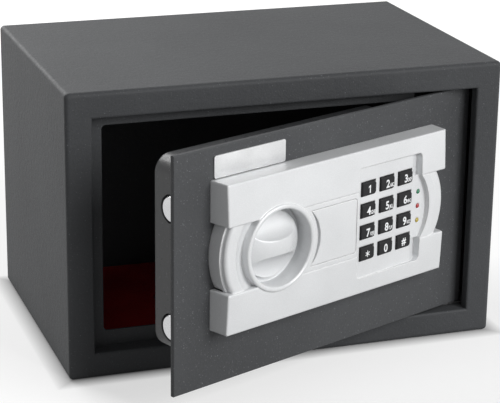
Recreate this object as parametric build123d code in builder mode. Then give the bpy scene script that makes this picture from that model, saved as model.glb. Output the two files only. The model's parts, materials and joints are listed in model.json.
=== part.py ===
from build123d import *
from math import acos, cos, pi, radians, sin, tan
import os

# Electronic furniture safe, shown with its door ajar.
# Millimetres, Z up. The origin is the centre of the cabinet's underside and the door faces -Y.

# Cabinet
cabinet_width = 310.0
cabinet_depth = 200.0
cabinet_height = 200.0
shell_sheet = 2.0
outer_bend = 3.0
inner_bend = 1.6
frame_width = 18.0
hinge_return_depth = 8.0
stop_sheet = 1.5
side_stop_width = 9.0
top_stop_width = 8.0
bottom_stop_width = 11.0
stop_corner = 3.0
stop_end_from_hinge = 25.0
weld_gap = 0.05
fixing_hole_radius = 5.0
base_hole_spacing = 100.0
back_hole_spacing = 180.0
base_hole_setback = 20.0
mat_thickness = 2.5
mat_margin = 3.0
mat_hole_radius = 11.0

# Door plate and its hang
plate_thickness = 3.0
plate_recess = 8.5
plate_to_stop = 0.5
free_edge_gap = 2.5
hinge_edge_gap = 4.5
door_end_gap = 1.75
plate_edge_round = 0.6
pivot_from_jamb = 17.0
pivot_behind_front = 17.5
ajar_angle = 22.5

# Hinge
pin_radius = 4.0
pin_length = 16.0
pin_clearance = 0.05
channel_sheet = 2.0
channel_half_width = 10.0
channel_depth = 24.0
channel_end_plate = 3.0
channel_end_setback = 1.0
washer_radius = 8.0
washer_thickness = 1.5
washer_gap = 0.2
bracket_sheet = 3.0
bracket_half_depth = 11.0
bracket_nose = 12.0
bracket_flange = 14.0

# Fascia
fascia_from_edge = 29.5
fascia_height = 101.0
fascia_depth = 15.0
barrel_rise = 1.85
end_draft = 1.6
fascia_edge_round = 1.0
fascia_wall = 2.5
band_half_height = 22.5
band_level = 15.2
end_arc_radius = 47.0
right_arc_radius = 45.0
end_arc_step = 1.2
end_arc_step_level = 10.5
end_arc_round = 2.6
middle_slope_run = 7.0
cavity_depth = 7.5
deep_cavity_depth = 12.4
boss_radius = 4.5
boss_inset = 9.0
fascia_screw_radius = 1.6
fascia_screw_depth = 8.0
screw_sink_radius = 3.0

# Knob and its cup
knob_from_edge = 75.3
cup_outer_radius = 29.4
cup_inner_radius = 26.0
cup_level = 17.8
cup_floor_level = 4.0
cup_rim_round = 1.3
moat_radius = 37.5
moat_level = 11.6
moat_curve_level = 12.6
knob_radius = 22.7
knob_base_gap = 0.6
knob_rim_level = 7.6
knob_top_level = 16.3
grip_waist_half = 5.2
scoop_radius = 14.0
scoop_floor_level = 6.4
grip_round = 0.5
spindle_radius = 4.0
spindle_clearance = 0.05
spindle_hole_gap = 0.6
spindle_tail_level = -12.0
spindle_in_knob = 3.0
clip_radius = 6.5
clip_mouth = 3.0
clip_thickness = 0.8
pinion_hub_radius = 6.0
pinion_hub_length = 0.8

# Emergency key cover and lock
cover_from_edge = 101.3
cover_to_edge = 143.0
cover_half_height = 19.2
cover_level = 16.6
cover_thickness = 2.0
cover_gap = 0.25
cover_corner = 2.0
cover_arc_rise = 6.0
nail_crescent = 2.6
override_from_edge = 124.0
override_body_radius = 9.5
override_flange_radius = 11.5
override_flange = 1.5
override_barrel_radius = 6.0
override_tail_level = -19.0
override_tube_short = 2.6
override_clearance = 0.05
keyway_width = 2.2
keyway_length = 8.0
keyway_depth = 10.0
cam_length = 12.0
cam_width = 9.0
cam_thickness = 2.0
nut_across_flats = 22.0
nut_thickness = 3.5

# Keypad
keypad_from_edge = 145.0
keypad_to_edge = 204.8
keypad_to_fascia_end = 24.7
keypad_half_height = 38.7
key_floor_level = 15.2
key_floor_drop = 1.9
pocket_drop_run = 6.8
pocket_foot_level = 10.5
pocket_corner = 3.0
key_columns = 3
key_rows = 4
key_pitch_across = 17.95
key_pitch_up = 15.2
key_width = 13.6
key_height = 9.6
key_first_from_edge = 154.5
keys_above_middle = 0.7
key_rise = 1.5
key_gap = 0.35
key_flange = 0.8
key_flange_thickness = 1.2
key_flange_gap = 0.3
key_corner_cut = 2.0
key_low_corner = 2.5
key_near_corner = 1.0
key_bevel = 0.7
led_from_edge = 204.4
led_pitch = 10.3
led_radius = 1.7
led_clearance = 0.1
led_rise = 0.8
led_arc_rise = 7.6
board_level = 2.6
board_thickness = 1.6
board_margin = 3.0
board_post_radius = 1.8
board_hole_radius = 1.0
board_peg_rise = 0.6

# Label
label_width = 60.0
label_height = 15.0
label_thickness = 1.0
label_from_edge = 32.0
label_above_fascia = 0.6
label_below_door_top = 5.65
label_corner = 1.5

# Lock casing behind the door
casing_from_edge = 10.0
casing_width = 195.0
casing_above_door_bottom = 22.25
casing_below_door_top = 8.25
casing_depth = 30.0
casing_sheet = 1.5
casing_corner = 12.0
casing_edge_round = 3.0
pillar_radius = 3.5
pillar_inset = 34.0
pillar_inset_up = 6.7
casing_screw_radius = 2.0
screw_head_radius = 3.6
screw_head_height = 2.2

# Bolt work
bolt_radius = 9.0
bolt_hole_gap = 0.8
bolt_above_casing_bottom = 18.0
bolt_below_casing_top = 32.0
bolt_behind_front = 15.0
bolt_chamfer = 1.0
bolt_length = 28.0
bolt_travel = 18.0
bolt_spigot_radius = 4.0
bolt_spigot_head = 6.0
spigot_head_thickness = 1.5
guide_from_edge = 14.0
guide_sheet = 2.0
guide_clearance = 0.08
guide_margin = 3.0
carriage_sheet = 2.5
carriage_gap = 0.4
carriage_web_width = 13.0
carriage_end_margin = 7.0
carriage_flange_depth = 21.5
rack_module = 1.0
pinion_teeth = 23
pressure_angle = 20.0
tooth_play = 0.12
rack_bar_height = 12.0
rack_end_from_edge = 106.0
stud_radius = 2.5
stud_clearance = 0.1
stud_head_radius = 4.5
stud_head_thickness = 1.5
stud_head_gap = 0.3
stud_inset = 5.5
spindle_bridge_sheet = 2.0
spindle_bridge_gap = 0.3
spindle_bridge_half_width = 13.0
spindle_bridge_above = 28.0
spindle_bridge_below = 7.0

# Electric blocker
blocker_from_edge = 104.0
plunger_radius = 3.0
plunger_clearance = 0.1
plunger_gap = 0.4
plunger_length = 22.0
blocker_arm_end = 116.0
blocker_shelf_length = 18.0
blocker_shelf_depth = 11.0
solenoid_width = 15.0
solenoid_height = 20.0
solenoid_depth = 15.0
solenoid_above_tip = 9.5
solenoid_cheek = 1.2
coil_radius = 6.5

# Power and program button
cell_radius = 7.15
cell_length = 49.0
cell_cap_radius = 2.7
cell_cap_length = 1.2
cell_count = 4
cell_gap = 0.5
tray_wall = 1.5
tray_from_edge = 139.0
tray_above_door_bottom = 34.0
battery_lid_thickness = 2.0
battery_lid_gap = 0.3
battery_lid_corner = 3.0
button_radius = 4.0
button_from_edge = 172.0
button_above_door_bottom = 118.0
button_travel = 2.0
button_rise = 3.0
button_gap = 0.3
switch_size = 14.0
switch_depth = 8.0
switch_cavity = 6.0
button_flange_radius = 5.5
casing_screw_length = 12.0

# Sizes worked out from the ones above
opening_half_width = cabinet_width / 2 - frame_width
opening_bottom = frame_width
opening_top = cabinet_height - frame_width
opening_height = opening_top - opening_bottom
opening_middle = (opening_top + opening_bottom) / 2
return_depth = plate_recess + plate_thickness + plate_to_stop
door_left = -opening_half_width + free_edge_gap
door_width = 2 * opening_half_width - free_edge_gap - hinge_edge_gap
door_bottom = opening_bottom + door_end_gap
door_top = opening_top - door_end_gap
door_height = door_top - door_bottom
door_front_y = -cabinet_depth / 2 + plate_recess
pivot_x = opening_half_width - pivot_from_jamb
pivot_y = door_front_y + pivot_behind_front
pivot_across = pivot_x - door_left

label_bottom = door_top - label_below_door_top - label_height
fascia_top = label_bottom - label_above_fascia
fascia_bottom = fascia_top - fascia_height
fascia_middle = (fascia_bottom + fascia_top) / 2
fascia_to_edge = keypad_to_edge + keypad_to_fascia_end
fascia_width = fascia_to_edge - fascia_from_edge
right_arc_from_edge = fascia_to_edge - (knob_from_edge - fascia_from_edge)
keypad_middle = (keypad_from_edge + keypad_to_edge) / 2

casing_bottom = door_bottom + casing_above_door_bottom
casing_top = door_top - casing_below_door_top
casing_height = casing_top - casing_bottom
casing_middle = (casing_bottom + casing_top) / 2
casing_to_edge = casing_from_edge + casing_width
casing_back_level = -plate_thickness - casing_depth
casing_inner_level = casing_back_level + casing_sheet

lower_bolt = casing_bottom + bolt_above_casing_bottom
upper_bolt = casing_top - bolt_below_casing_top
bolt_spacing = upper_bolt - lower_bolt
bolt_middle = (lower_bolt + upper_bolt) / 2
carriage_front_level = -plate_thickness - carriage_gap
carriage_back_level = carriage_front_level - carriage_sheet
web_from_edge = casing_from_edge + bolt_length
pitch_radius = rack_module * pinion_teeth / 2
rack_pitch_line = fascia_middle - pitch_radius
cell_pitch = 2 * cell_radius + cell_gap

crown_level = fascia_depth + barrel_rise
band_edge_level = crown_level - barrel_rise * (2 * band_half_height / fascia_height) ** 2
cover_seat_level = cover_level - cover_thickness
board_top = board_level + board_thickness
board_from_edge = keypad_from_edge + board_margin
board_to_edge = keypad_to_edge + led_arc_rise
board_half_height = keypad_half_height - board_margin
board_posts = [
    (from_edge, fascia_middle + side * (board_half_height - board_margin))
    for from_edge in (board_from_edge + board_margin, board_to_edge - board_margin)
    for side in (1, -1)
]
key_middle_from_edge = key_first_from_edge + (key_columns - 1) / 2 * key_pitch_across
keys_middle = fascia_middle + keys_above_middle
key_floor_slope = key_floor_drop / (keypad_to_edge - keypad_from_edge)
key_flange_level = cavity_depth - key_flange_gap - key_flange_thickness

# The door's own planes: across from the free edge, up from the cabinet's underside, out from the plate
closed_face = Plane(origin=(door_left, door_front_y, 0), x_dir=(1, 0, 0), z_dir=(0, -1, 0))
swing = Pos(pivot_x, pivot_y, 0) * Rot(0, 0, ajar_angle) * Pos(-pivot_x, -pivot_y, 0)
door_face = Plane(swing * closed_face.location)
door_back = door_face.offset(-plate_thickness)
across = Axis(door_face.origin, door_face.x_dir)
outward = Axis(door_face.origin, door_face.z_dir)


def door_point(from_edge, height, level):
    """Point in the row's frame, given across, up and out on the door."""
    return door_face.from_local_coords((from_edge, height, level))


def plan_plane(height):
    """Horizontal plane through the door: x runs across, y runs inward."""
    return Plane(origin=door_point(0, height, 0), x_dir=door_face.x_dir, z_dir=(0, 0, 1))


def end_plane(from_edge):
    """Plane square to the door's width: x runs out from the plate, y runs up."""
    return Plane(origin=door_point(from_edge, 0, 0), x_dir=door_face.z_dir, z_dir=-door_face.x_dir)


os.makedirs("parts", exist_ok=True)


def save(piece, name):
    """Label a finished piece and write its STEP file."""
    piece.part.label = name
    export_step(piece.part, f"parts/{name}.step")


# Cabinet pieces

front = Plane.XZ.offset(cabinet_depth / 2)

with BuildPart() as body_shell:
    with BuildSketch(front):
        with Locations((0, cabinet_height / 2)):
            RectangleRounded(cabinet_width, cabinet_height, outer_bend)
    extrude(amount=-cabinet_depth)
    fillet(body_shell.faces().sort_by(Axis.Y)[0].edges(), outer_bend)
    with BuildSketch(front.offset(-shell_sheet)):
        with Locations((0, cabinet_height / 2)):
            RectangleRounded(
                cabinet_width - 2 * shell_sheet, cabinet_height - 2 * shell_sheet, inner_bend
            )
    extrude(amount=-cabinet_depth, mode=Mode.SUBTRACT)
    with BuildSketch(front.offset(-shell_sheet)):
        with Locations((0, opening_middle)):
            Rectangle(2 * (opening_half_width + shell_sheet), opening_height + 2 * shell_sheet)
    extrude(amount=-(return_depth - shell_sheet))
    with BuildSketch(front):
        with Locations((0, opening_middle)):
            Rectangle(2 * opening_half_width, opening_height)
    extrude(amount=-return_depth, mode=Mode.SUBTRACT)
    opening_edges = body_shell.faces().sort_by(Axis.Y)[0].inner_wires()[0].edges()
    fillet(opening_edges, inner_bend)
    with BuildSketch(front.offset(-hinge_return_depth)):
        with Locations((opening_half_width + shell_sheet / 2, opening_middle)):
            Rectangle(shell_sheet, opening_height)
    extrude(amount=hinge_return_depth - return_depth, mode=Mode.SUBTRACT)
    with BuildSketch(Plane.XY):
        with Locations((0, base_hole_setback)):
            with GridLocations(base_hole_spacing, 0, 2, 1):
                Circle(fixing_hole_radius)
    extrude(amount=shell_sheet, mode=Mode.SUBTRACT)
save(body_shell, "body_shell")

with BuildPart() as back_panel:
    with BuildSketch(Plane.XZ.offset(-cabinet_depth / 2)):
        with Locations((0, cabinet_height / 2)):
            RectangleRounded(
                cabinet_width - 2 * (shell_sheet + weld_gap),
                cabinet_height - 2 * (shell_sheet + weld_gap),
                inner_bend,
            )
            with GridLocations(back_hole_spacing, 0, 2, 1):
                Circle(fixing_hole_radius, mode=Mode.SUBTRACT)
    extrude(amount=shell_sheet)
save(back_panel, "back_panel")

stop_left = -opening_half_width - shell_sheet
stop_right = pivot_x - stop_end_from_hinge
with BuildPart() as door_stop_frame:
    with BuildSketch(front.offset(-return_depth)) as stop_outline:
        with Locations(((stop_left + stop_right) / 2, opening_middle)):
            Rectangle(stop_right - stop_left, opening_height + 2 * shell_sheet)
        with BuildLine():
            Polyline(
                (-opening_half_width + side_stop_width, opening_bottom + bottom_stop_width),
                (stop_right, opening_bottom + bottom_stop_width),
                (stop_right, opening_top - top_stop_width),
                (-opening_half_width + side_stop_width, opening_top - top_stop_width),
                close=True,
            )
        make_face(mode=Mode.SUBTRACT)
        inner_corners = stop_outline.vertices().group_by(Axis.X)[1]
        fillet(inner_corners, stop_corner)
    extrude(amount=-stop_sheet)
save(door_stop_frame, "door_stop_frame")

with BuildPart() as floor_mat:
    mat_front = -cabinet_depth / 2 + return_depth + stop_sheet + mat_margin
    mat_back = cabinet_depth / 2 - shell_sheet - mat_margin
    with BuildSketch(Plane.XY.offset(shell_sheet)):
        with Locations((0, (mat_front + mat_back) / 2)):
            RectangleRounded(
                cabinet_width - 2 * (shell_sheet + mat_margin), mat_back - mat_front, mat_margin
            )
        with Locations((0, base_hole_setback)):
            with GridLocations(base_hole_spacing, 0, 2, 1):
                Circle(mat_hole_radius, mode=Mode.SUBTRACT)
    extrude(amount=mat_thickness)
save(floor_mat, "floor_mat")

# Hinge: two pins in a folded channel behind the door turn in brackets on the cabinet's side

channel_bottom = door_bottom + channel_end_setback
channel_top = door_top - channel_end_setback
bracket_reach = cabinet_width / 2 - shell_sheet - pivot_x


def hinge_bracket(name, height, rise):
    """Angle bracket with a pivot hole, its plate starting at a height and thickening by rise."""
    with BuildPart() as bracket:
        with BuildSketch(Plane.XY.offset(height)):
            with Locations((pivot_x + (bracket_reach - bracket_nose) / 2, pivot_y)):
                Rectangle(bracket_reach + bracket_nose, 2 * bracket_half_depth)
        extrude(amount=rise)
        nose_edges = bracket.edges().filter_by(Axis.Z).group_by(Axis.X)[0]
        fillet(nose_edges, bracket_half_depth / 2)
        flange_height = bracket_flange if rise > 0 else -bracket_flange
        with BuildSketch(Plane.XY.offset(height)):
            with Locations((pivot_x + bracket_reach - bracket_sheet / 2, pivot_y)):
                Rectangle(bracket_sheet, 2 * bracket_half_depth)
        extrude(amount=flange_height)
        with BuildSketch(Plane.XY.offset(height)):
            with Locations((pivot_x, pivot_y)):
                Circle(pin_radius + pin_clearance)
        extrude(amount=rise, mode=Mode.SUBTRACT)
    save(bracket, name)


washer_stack = washer_thickness + 2 * washer_gap
hinge_bracket("upper_hinge_bracket", channel_top + washer_stack, bracket_sheet)
hinge_bracket("lower_hinge_bracket", channel_bottom - washer_stack, -bracket_sheet)

channel_near = pivot_across - channel_half_width
channel_far = pivot_across + channel_half_width
with BuildPart() as hinge_channel:
    with BuildSketch(plan_plane(channel_bottom)):
        with BuildLine():
            Polyline(
                (channel_near, plate_thickness),
                (channel_far, plate_thickness),
                (channel_far, plate_thickness + channel_depth),
                (channel_near, plate_thickness + channel_depth),
                (channel_near, plate_thickness + channel_depth - channel_sheet),
                (channel_far - channel_sheet, plate_thickness + channel_depth - channel_sheet),
                (channel_far - channel_sheet, plate_thickness + channel_sheet),
                (channel_near, plate_thickness + channel_sheet),
                close=True,
            )
        make_face()
    extrude(amount=channel_top - channel_bottom)
    for end_level in (channel_bottom, channel_top - channel_end_plate):
        with BuildSketch(plan_plane(end_level)):
            with Locations((pivot_across, plate_thickness + channel_depth / 2)):
                Rectangle(2 * channel_half_width, channel_depth)
            with Locations((pivot_across, pivot_behind_front)):
                Circle(pin_radius, mode=Mode.SUBTRACT)
        extrude(amount=channel_end_plate)
    far_corners = hinge_channel.edges().filter_by(Axis.Z).group_by(across)[-1]
    fillet(far_corners.sort_by(outward)[0], channel_sheet)
save(hinge_channel, "hinge_channel")

with BuildPart() as hinge_pins:
    for pin_start, pin_rise in (
        (channel_top - channel_end_plate, 1),
        (channel_bottom + channel_end_plate, -1),
    ):
        with BuildSketch(plan_plane(pin_start)):
            with Locations((pivot_across, pivot_behind_front)):
                Circle(pin_radius)
        extrude(amount=pin_rise * pin_length)
    pin_tips = hinge_pins.edges().filter_by(GeomType.CIRCLE).sort_by(Axis.Z)
    chamfer([pin_tips[0], pin_tips[-1]], pin_radius / 5)
save(hinge_pins, "hinge_pins")

with BuildPart() as hinge_washers:
    for washer_level in (channel_top + washer_gap, channel_bottom - washer_gap - washer_thickness):
        with BuildSketch(plan_plane(washer_level)):
            with Locations((pivot_across, pivot_behind_front)):
                Circle(washer_radius)
                Circle(pin_radius + pin_clearance, mode=Mode.SUBTRACT)
        extrude(amount=washer_thickness)
save(hinge_washers, "hinge_washers")

# Door plate with the pillars that the casing screws into

boss_places = [
    (from_edge, height)
    for from_edge in (fascia_from_edge + boss_inset, fascia_to_edge - boss_inset)
    for height in (fascia_bottom + boss_inset, fascia_top - boss_inset)
]
pillar_places = [
    (from_edge, height)
    for from_edge in (casing_from_edge + pillar_inset, casing_to_edge - pillar_inset)
    for height in (casing_bottom + pillar_inset_up, casing_top - pillar_inset_up)
]
knob_place = (knob_from_edge, fascia_middle)
override_place = (override_from_edge, fascia_middle)

with BuildPart() as door_plate:
    with BuildSketch(door_face):
        with Locations((door_width / 2, (door_bottom + door_top) / 2)):
            Rectangle(door_width, door_height)
    extrude(amount=-plate_thickness)
    fillet(door_plate.faces().sort_by(outward)[-1].edges(), plate_edge_round)
    with BuildSketch(door_face):
        with Locations(knob_place):
            Circle(spindle_radius + spindle_hole_gap)
        with Locations(override_place):
            Circle(override_body_radius + override_clearance)
        with Locations((keypad_middle, fascia_middle)):
            SlotOverall(4 * boss_radius, 2 * boss_radius, rotation=90)
    extrude(amount=-plate_thickness, mode=Mode.SUBTRACT)
    with BuildSketch(door_back):
        with Locations(*pillar_places):
            Circle(pillar_radius)
            Circle(casing_screw_radius, mode=Mode.SUBTRACT)
    extrude(amount=-(casing_depth - casing_sheet))
    boss_faces = [
        Plane(origin=door_point(from_edge, height, -plate_thickness), z_dir=-door_face.z_dir)
        for from_edge, height in boss_places
    ]
    with Locations(*boss_faces):
        CounterSinkHole(
            fascia_screw_radius + weld_gap, screw_sink_radius + weld_gap, plate_thickness, 90
        )
save(door_plate, "door_plate")

knob_axis = Axis(door_point(knob_from_edge, fascia_middle, 0), door_face.z_dir)

# Fascia: two barrelled blocks, a flat band between them with round ends, the knob cup and the recesses

with BuildPart() as fascia_band:
    with BuildSketch(door_face):
        with BuildLine():
            left_top = (knob_from_edge - (end_arc_radius**2 - band_half_height**2) ** 0.5)
            right_top = (right_arc_from_edge + (right_arc_radius**2 - band_half_height**2) ** 0.5)
            band_low = fascia_middle - band_half_height
            band_high = fascia_middle + band_half_height
            Line((left_top, band_low), (right_top, band_low))
            ThreePointArc(
                (right_top, band_low),
                (right_arc_from_edge + right_arc_radius, fascia_middle),
                (right_top, band_high),
            )
            Line((right_top, band_high), (left_top, band_high))
            ThreePointArc(
                (left_top, band_high),
                (knob_from_edge - end_arc_radius, fascia_middle),
                (left_top, band_low),
            )
        make_face()
    extrude(amount=band_level)
    with BuildSketch(door_face.offset(end_arc_step_level)):
        with Locations((fascia_from_edge + fascia_width / 2, fascia_middle)):
            Rectangle(2 * fascia_width, 2 * band_half_height)
        with Locations(knob_place):
            Circle(end_arc_radius - end_arc_step, mode=Mode.SUBTRACT)
        with Locations((right_arc_from_edge, fascia_middle)):
            Circle(right_arc_radius - end_arc_step, mode=Mode.SUBTRACT)
        with Locations((fascia_from_edge + fascia_width / 2, fascia_middle)):
            Rectangle(fascia_width / 2, 2 * band_half_height, mode=Mode.SUBTRACT)
    extrude(amount=band_level, mode=Mode.SUBTRACT)
    upper_rims = fascia_band.faces().sort_by(outward)[-1].edges().filter_by(GeomType.CIRCLE)
    fillet(upper_rims, end_arc_round)
    with BuildSketch(end_plane(knob_from_edge)) as moat_profile:
        with BuildLine():
            Line((band_level + end_arc_round, fascia_middle + cup_inner_radius),
                 (moat_level, fascia_middle + cup_inner_radius))
            Line((moat_level, fascia_middle + cup_inner_radius),
                 (moat_level, fascia_middle + cup_outer_radius))
            ThreePointArc(
                (moat_level, fascia_middle + cup_outer_radius),
                (moat_curve_level, fascia_middle + (cup_outer_radius + moat_radius) / 2),
                (band_level + 0.01, fascia_middle + moat_radius),
            )
            Line((band_level + 0.01, fascia_middle + moat_radius),
                 (band_level + end_arc_round, fascia_middle + moat_radius))
            Line((band_level + end_arc_round, fascia_middle + moat_radius),
                 (band_level + end_arc_round, fascia_middle + cup_inner_radius))
        make_face()
    revolve(axis=knob_axis, revolution_arc=180, mode=Mode.SUBTRACT)

with BuildPart() as fascia_bridge:
    with BuildSketch(end_plane(knob_from_edge)):
        with BuildLine():
            Polyline(
                (band_edge_level, band_high),
                (0, band_high),
                (0, band_low),
                (band_edge_level, band_low),
            )
            ThreePointArc(
                (band_edge_level, band_low),
                (crown_level, fascia_middle),
                (band_edge_level, band_high),
            )
        make_face()
    extrude(amount=-(fascia_to_edge - knob_from_edge))
    with BuildSketch(end_plane(right_arc_from_edge)):
        slope_end_radius = right_arc_radius - end_arc_step - end_arc_round
        with BuildLine():
            Polyline(
                (crown_level, fascia_middle + slope_end_radius - middle_slope_run),
                (band_level, fascia_middle + slope_end_radius),
                (0, fascia_middle + slope_end_radius),
                (0, fascia_middle + 2 * right_arc_radius),
                (2 * cup_level, fascia_middle + 2 * right_arc_radius),
                (2 * cup_level, fascia_middle + slope_end_radius - middle_slope_run),
                close=True,
            )
        make_face()
    right_arc_axis = Axis(door_point(right_arc_from_edge, fascia_middle, 0), door_face.z_dir)
    revolve(axis=right_arc_axis, revolution_arc=-180, mode=Mode.SUBTRACT)

def key_floor_at(from_edge):
    """Level of the sloping floor under the keys, at a distance from the free edge."""
    return key_floor_level - key_floor_slope * (from_edge - keypad_from_edge)


with BuildPart() as keypad_pocket:
    drop_from_edge = keypad_to_edge - pocket_drop_run
    with BuildSketch(plan_plane(fascia_middle - keypad_half_height)):
        with BuildLine():
            Polyline(
                (keypad_from_edge, -key_floor_at(keypad_from_edge)),
                (drop_from_edge, -key_floor_at(drop_from_edge)),
                (keypad_to_edge, -pocket_foot_level),
                (keypad_to_edge, -2 * cup_level),
                (keypad_from_edge, -2 * cup_level),
                close=True,
            )
        make_face()
    extrude(amount=2 * keypad_half_height)
    pocket_corners = keypad_pocket.edges().filter_by(outward)
    fillet(pocket_corners, pocket_corner)
    with BuildSketch(plan_plane(band_low)):
        with Locations((keypad_middle, -cup_level)):
            Rectangle(2 * (keypad_to_edge - keypad_from_edge), 3 * cup_level)
    extrude(amount=2 * band_half_height, mode=Mode.SUBTRACT)

with BuildPart() as keypad_floor_cut:
    floor_end = keypad_to_edge + 2 * led_arc_rise
    with BuildSketch(plan_plane(band_low)):
        with BuildLine():
            Polyline(
                (keypad_from_edge, -key_floor_at(keypad_from_edge)),
                (floor_end, -key_floor_at(floor_end)),
                (floor_end, -2 * cup_level),
                (keypad_from_edge, -2 * cup_level),
                close=True,
            )
        make_face()
    extrude(amount=2 * band_half_height)
    with BuildSketch(door_face):
        with BuildLine():
            Polyline(
                (keypad_to_edge, band_high),
                (keypad_from_edge, band_high),
                (keypad_from_edge, band_low),
                (keypad_to_edge, band_low),
            )
            ThreePointArc(
                (keypad_to_edge, band_low),
                (keypad_to_edge + led_arc_rise, fascia_middle),
                (keypad_to_edge, band_high),
            )
        make_face()
    extrude(amount=2 * cup_level, mode=Mode.INTERSECT)


def cover_outline(arc_rise, gap):
    """Outline of the key cover: an arc beside the knob cup, rounded corners beside the keys."""
    start = cover_from_edge + gap
    end = cover_to_edge - gap
    half = cover_half_height - gap
    with BuildLine() as outline:
        ThreePointArc(
            (start, fascia_middle + half),
            (start + arc_rise, fascia_middle),
            (start, fascia_middle - half),
        )
        Line((start, fascia_middle - half), (end - cover_corner, fascia_middle - half))
        RadiusArc(
            (end - cover_corner, fascia_middle - half),
            (end, fascia_middle - half + cover_corner),
            -cover_corner,
        )
        Line((end, fascia_middle - half + cover_corner), (end, fascia_middle + half - cover_corner))
        RadiusArc(
            (end, fascia_middle + half - cover_corner),
            (end - cover_corner, fascia_middle + half),
            -cover_corner,
        )
        Line((end - cover_corner, fascia_middle + half), (start, fascia_middle + half))
    make_face(outline.edges())


with BuildPart() as fascia:
    with BuildSketch(end_plane(fascia_from_edge)):
        for side in (1, -1):
            near = fascia_middle + side * band_half_height
            far = fascia_middle + side * fascia_height / 2
            middle = (near + far) / 2
            slope_middle = crown_level - barrel_rise * ((middle - fascia_middle) / (fascia_height / 2)) ** 2
            with BuildLine():
                Line((0, near), (band_edge_level, near))
                ThreePointArc((band_edge_level, near), (slope_middle, middle), (fascia_depth, far))
                Polyline((fascia_depth, far), (0, far), (0, near))
            make_face()
    extrude(amount=-fascia_width)
    with BuildSketch(plan_plane(fascia_bottom)):
        for base, tip in ((fascia_from_edge, end_draft), (fascia_to_edge, -end_draft)):
            with BuildLine():
                Polyline(
                    (base, 0),
                    (base + tip * cup_level / fascia_depth, -cup_level),
                    (base, -cup_level),
                    close=True,
                )
            make_face()
    extrude(amount=fascia_height, mode=Mode.SUBTRACT)
    block_edges = fascia.edges().filter_by_position(outward, fascia_depth / 2, cup_level)
    fillet(block_edges, fascia_edge_round)
    add(fascia_band.part)
    add(fascia_bridge.part)
    with BuildSketch(door_face):
        with Locations(knob_place):
            Circle(cup_outer_radius)
    extrude(amount=cup_level)
    with BuildSketch(door_face.offset(cup_floor_level)):
        with Locations(knob_place):
            Circle(cup_inner_radius)
    extrude(amount=cup_level, mode=Mode.SUBTRACT)
    fillet(fascia.faces().sort_by(outward)[-1].edges(), cup_rim_round)
    add(keypad_pocket.part, mode=Mode.SUBTRACT)
    add(keypad_floor_cut.part, mode=Mode.SUBTRACT)
    with BuildSketch(door_face.offset(cover_seat_level)) as cover_recess:
        cover_outline(cover_arc_rise, 0)
    extrude(amount=cup_level, mode=Mode.SUBTRACT)
    with BuildSketch(door_face):
        with Locations((fascia_from_edge + fascia_width / 2, fascia_middle)):
            Rectangle(
                fascia_width - 2 * (fascia_wall + end_draft), fascia_height - 2 * fascia_wall
            )
        with Locations(knob_place):
            Circle(cup_outer_radius, mode=Mode.SUBTRACT)
        with Locations(*boss_places):
            Circle(boss_radius, mode=Mode.SUBTRACT)
        with Locations(*board_posts):
            Circle(board_post_radius, mode=Mode.SUBTRACT)
    extrude(amount=cavity_depth, mode=Mode.SUBTRACT)
    deep_from = fascia_from_edge + fascia_wall + end_draft
    deep_to = keypad_from_edge - fascia_wall
    deep_low = band_half_height + fascia_wall
    deep_high = fascia_height / 2 - fascia_wall
    with BuildSketch(door_face):
        for side in (1, -1):
            with Locations(((deep_from + deep_to) / 2, fascia_middle + side * (deep_low + deep_high) / 2)):
                Rectangle(deep_to - deep_from, deep_high - deep_low)
        with Locations(knob_place):
            Circle(cup_outer_radius, mode=Mode.SUBTRACT)
        with Locations(*boss_places):
            Circle(boss_radius, mode=Mode.SUBTRACT)
    extrude(amount=deep_cavity_depth, mode=Mode.SUBTRACT)
    with BuildSketch(door_face):
        with Locations(*board_posts):
            Circle(board_post_radius)
    extrude(amount=board_top, mode=Mode.SUBTRACT)
    with BuildSketch(door_face.offset(board_level - board_peg_rise)):
        with Locations(*board_posts):
            Circle(board_hole_radius - weld_gap)
    extrude(amount=board_thickness + board_peg_rise)
    with BuildSketch(door_face):
        with Locations((key_middle_from_edge, keys_middle)):
            with GridLocations(key_pitch_across, key_pitch_up, key_columns, key_rows):
                Rectangle(key_width + 2 * key_gap, key_height + 2 * key_gap)
        with Locations((led_from_edge, fascia_middle)):
            with GridLocations(0, led_pitch, 1, 3):
                Circle(led_radius + led_clearance)
        with Locations(knob_place):
            Circle(spindle_radius + spindle_hole_gap)
        with Locations(override_place):
            Circle(override_body_radius + override_clearance)
    extrude(amount=cup_level, mode=Mode.SUBTRACT)
    with BuildSketch(door_face.offset(cover_seat_level - override_flange)):
        with Locations(override_place):
            Circle(override_flange_radius + override_clearance)
    extrude(amount=override_flange, mode=Mode.SUBTRACT)
    with BuildSketch(door_face):
        with Locations(*boss_places):
            Circle(fascia_screw_radius + weld_gap)
    extrude(amount=fascia_screw_depth, mode=Mode.SUBTRACT)
save(fascia, "fascia")

# Knob: a domed disc with a waisted grip bar, on a spindle with the pinion that drives the bolts

knob_base_level = cup_floor_level + knob_base_gap
dome_rise = knob_top_level - knob_rim_level
dome_radius = (knob_radius**2 + dome_rise**2) / (2 * dome_rise)
ridge_level = knob_top_level - dome_radius + (dome_radius**2 - grip_waist_half**2) ** 0.5
scoop_centre_level = scoop_floor_level + scoop_radius
scoop_offset = grip_waist_half + (scoop_radius**2 - (scoop_centre_level - ridge_level) ** 2) ** 0.5

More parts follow.
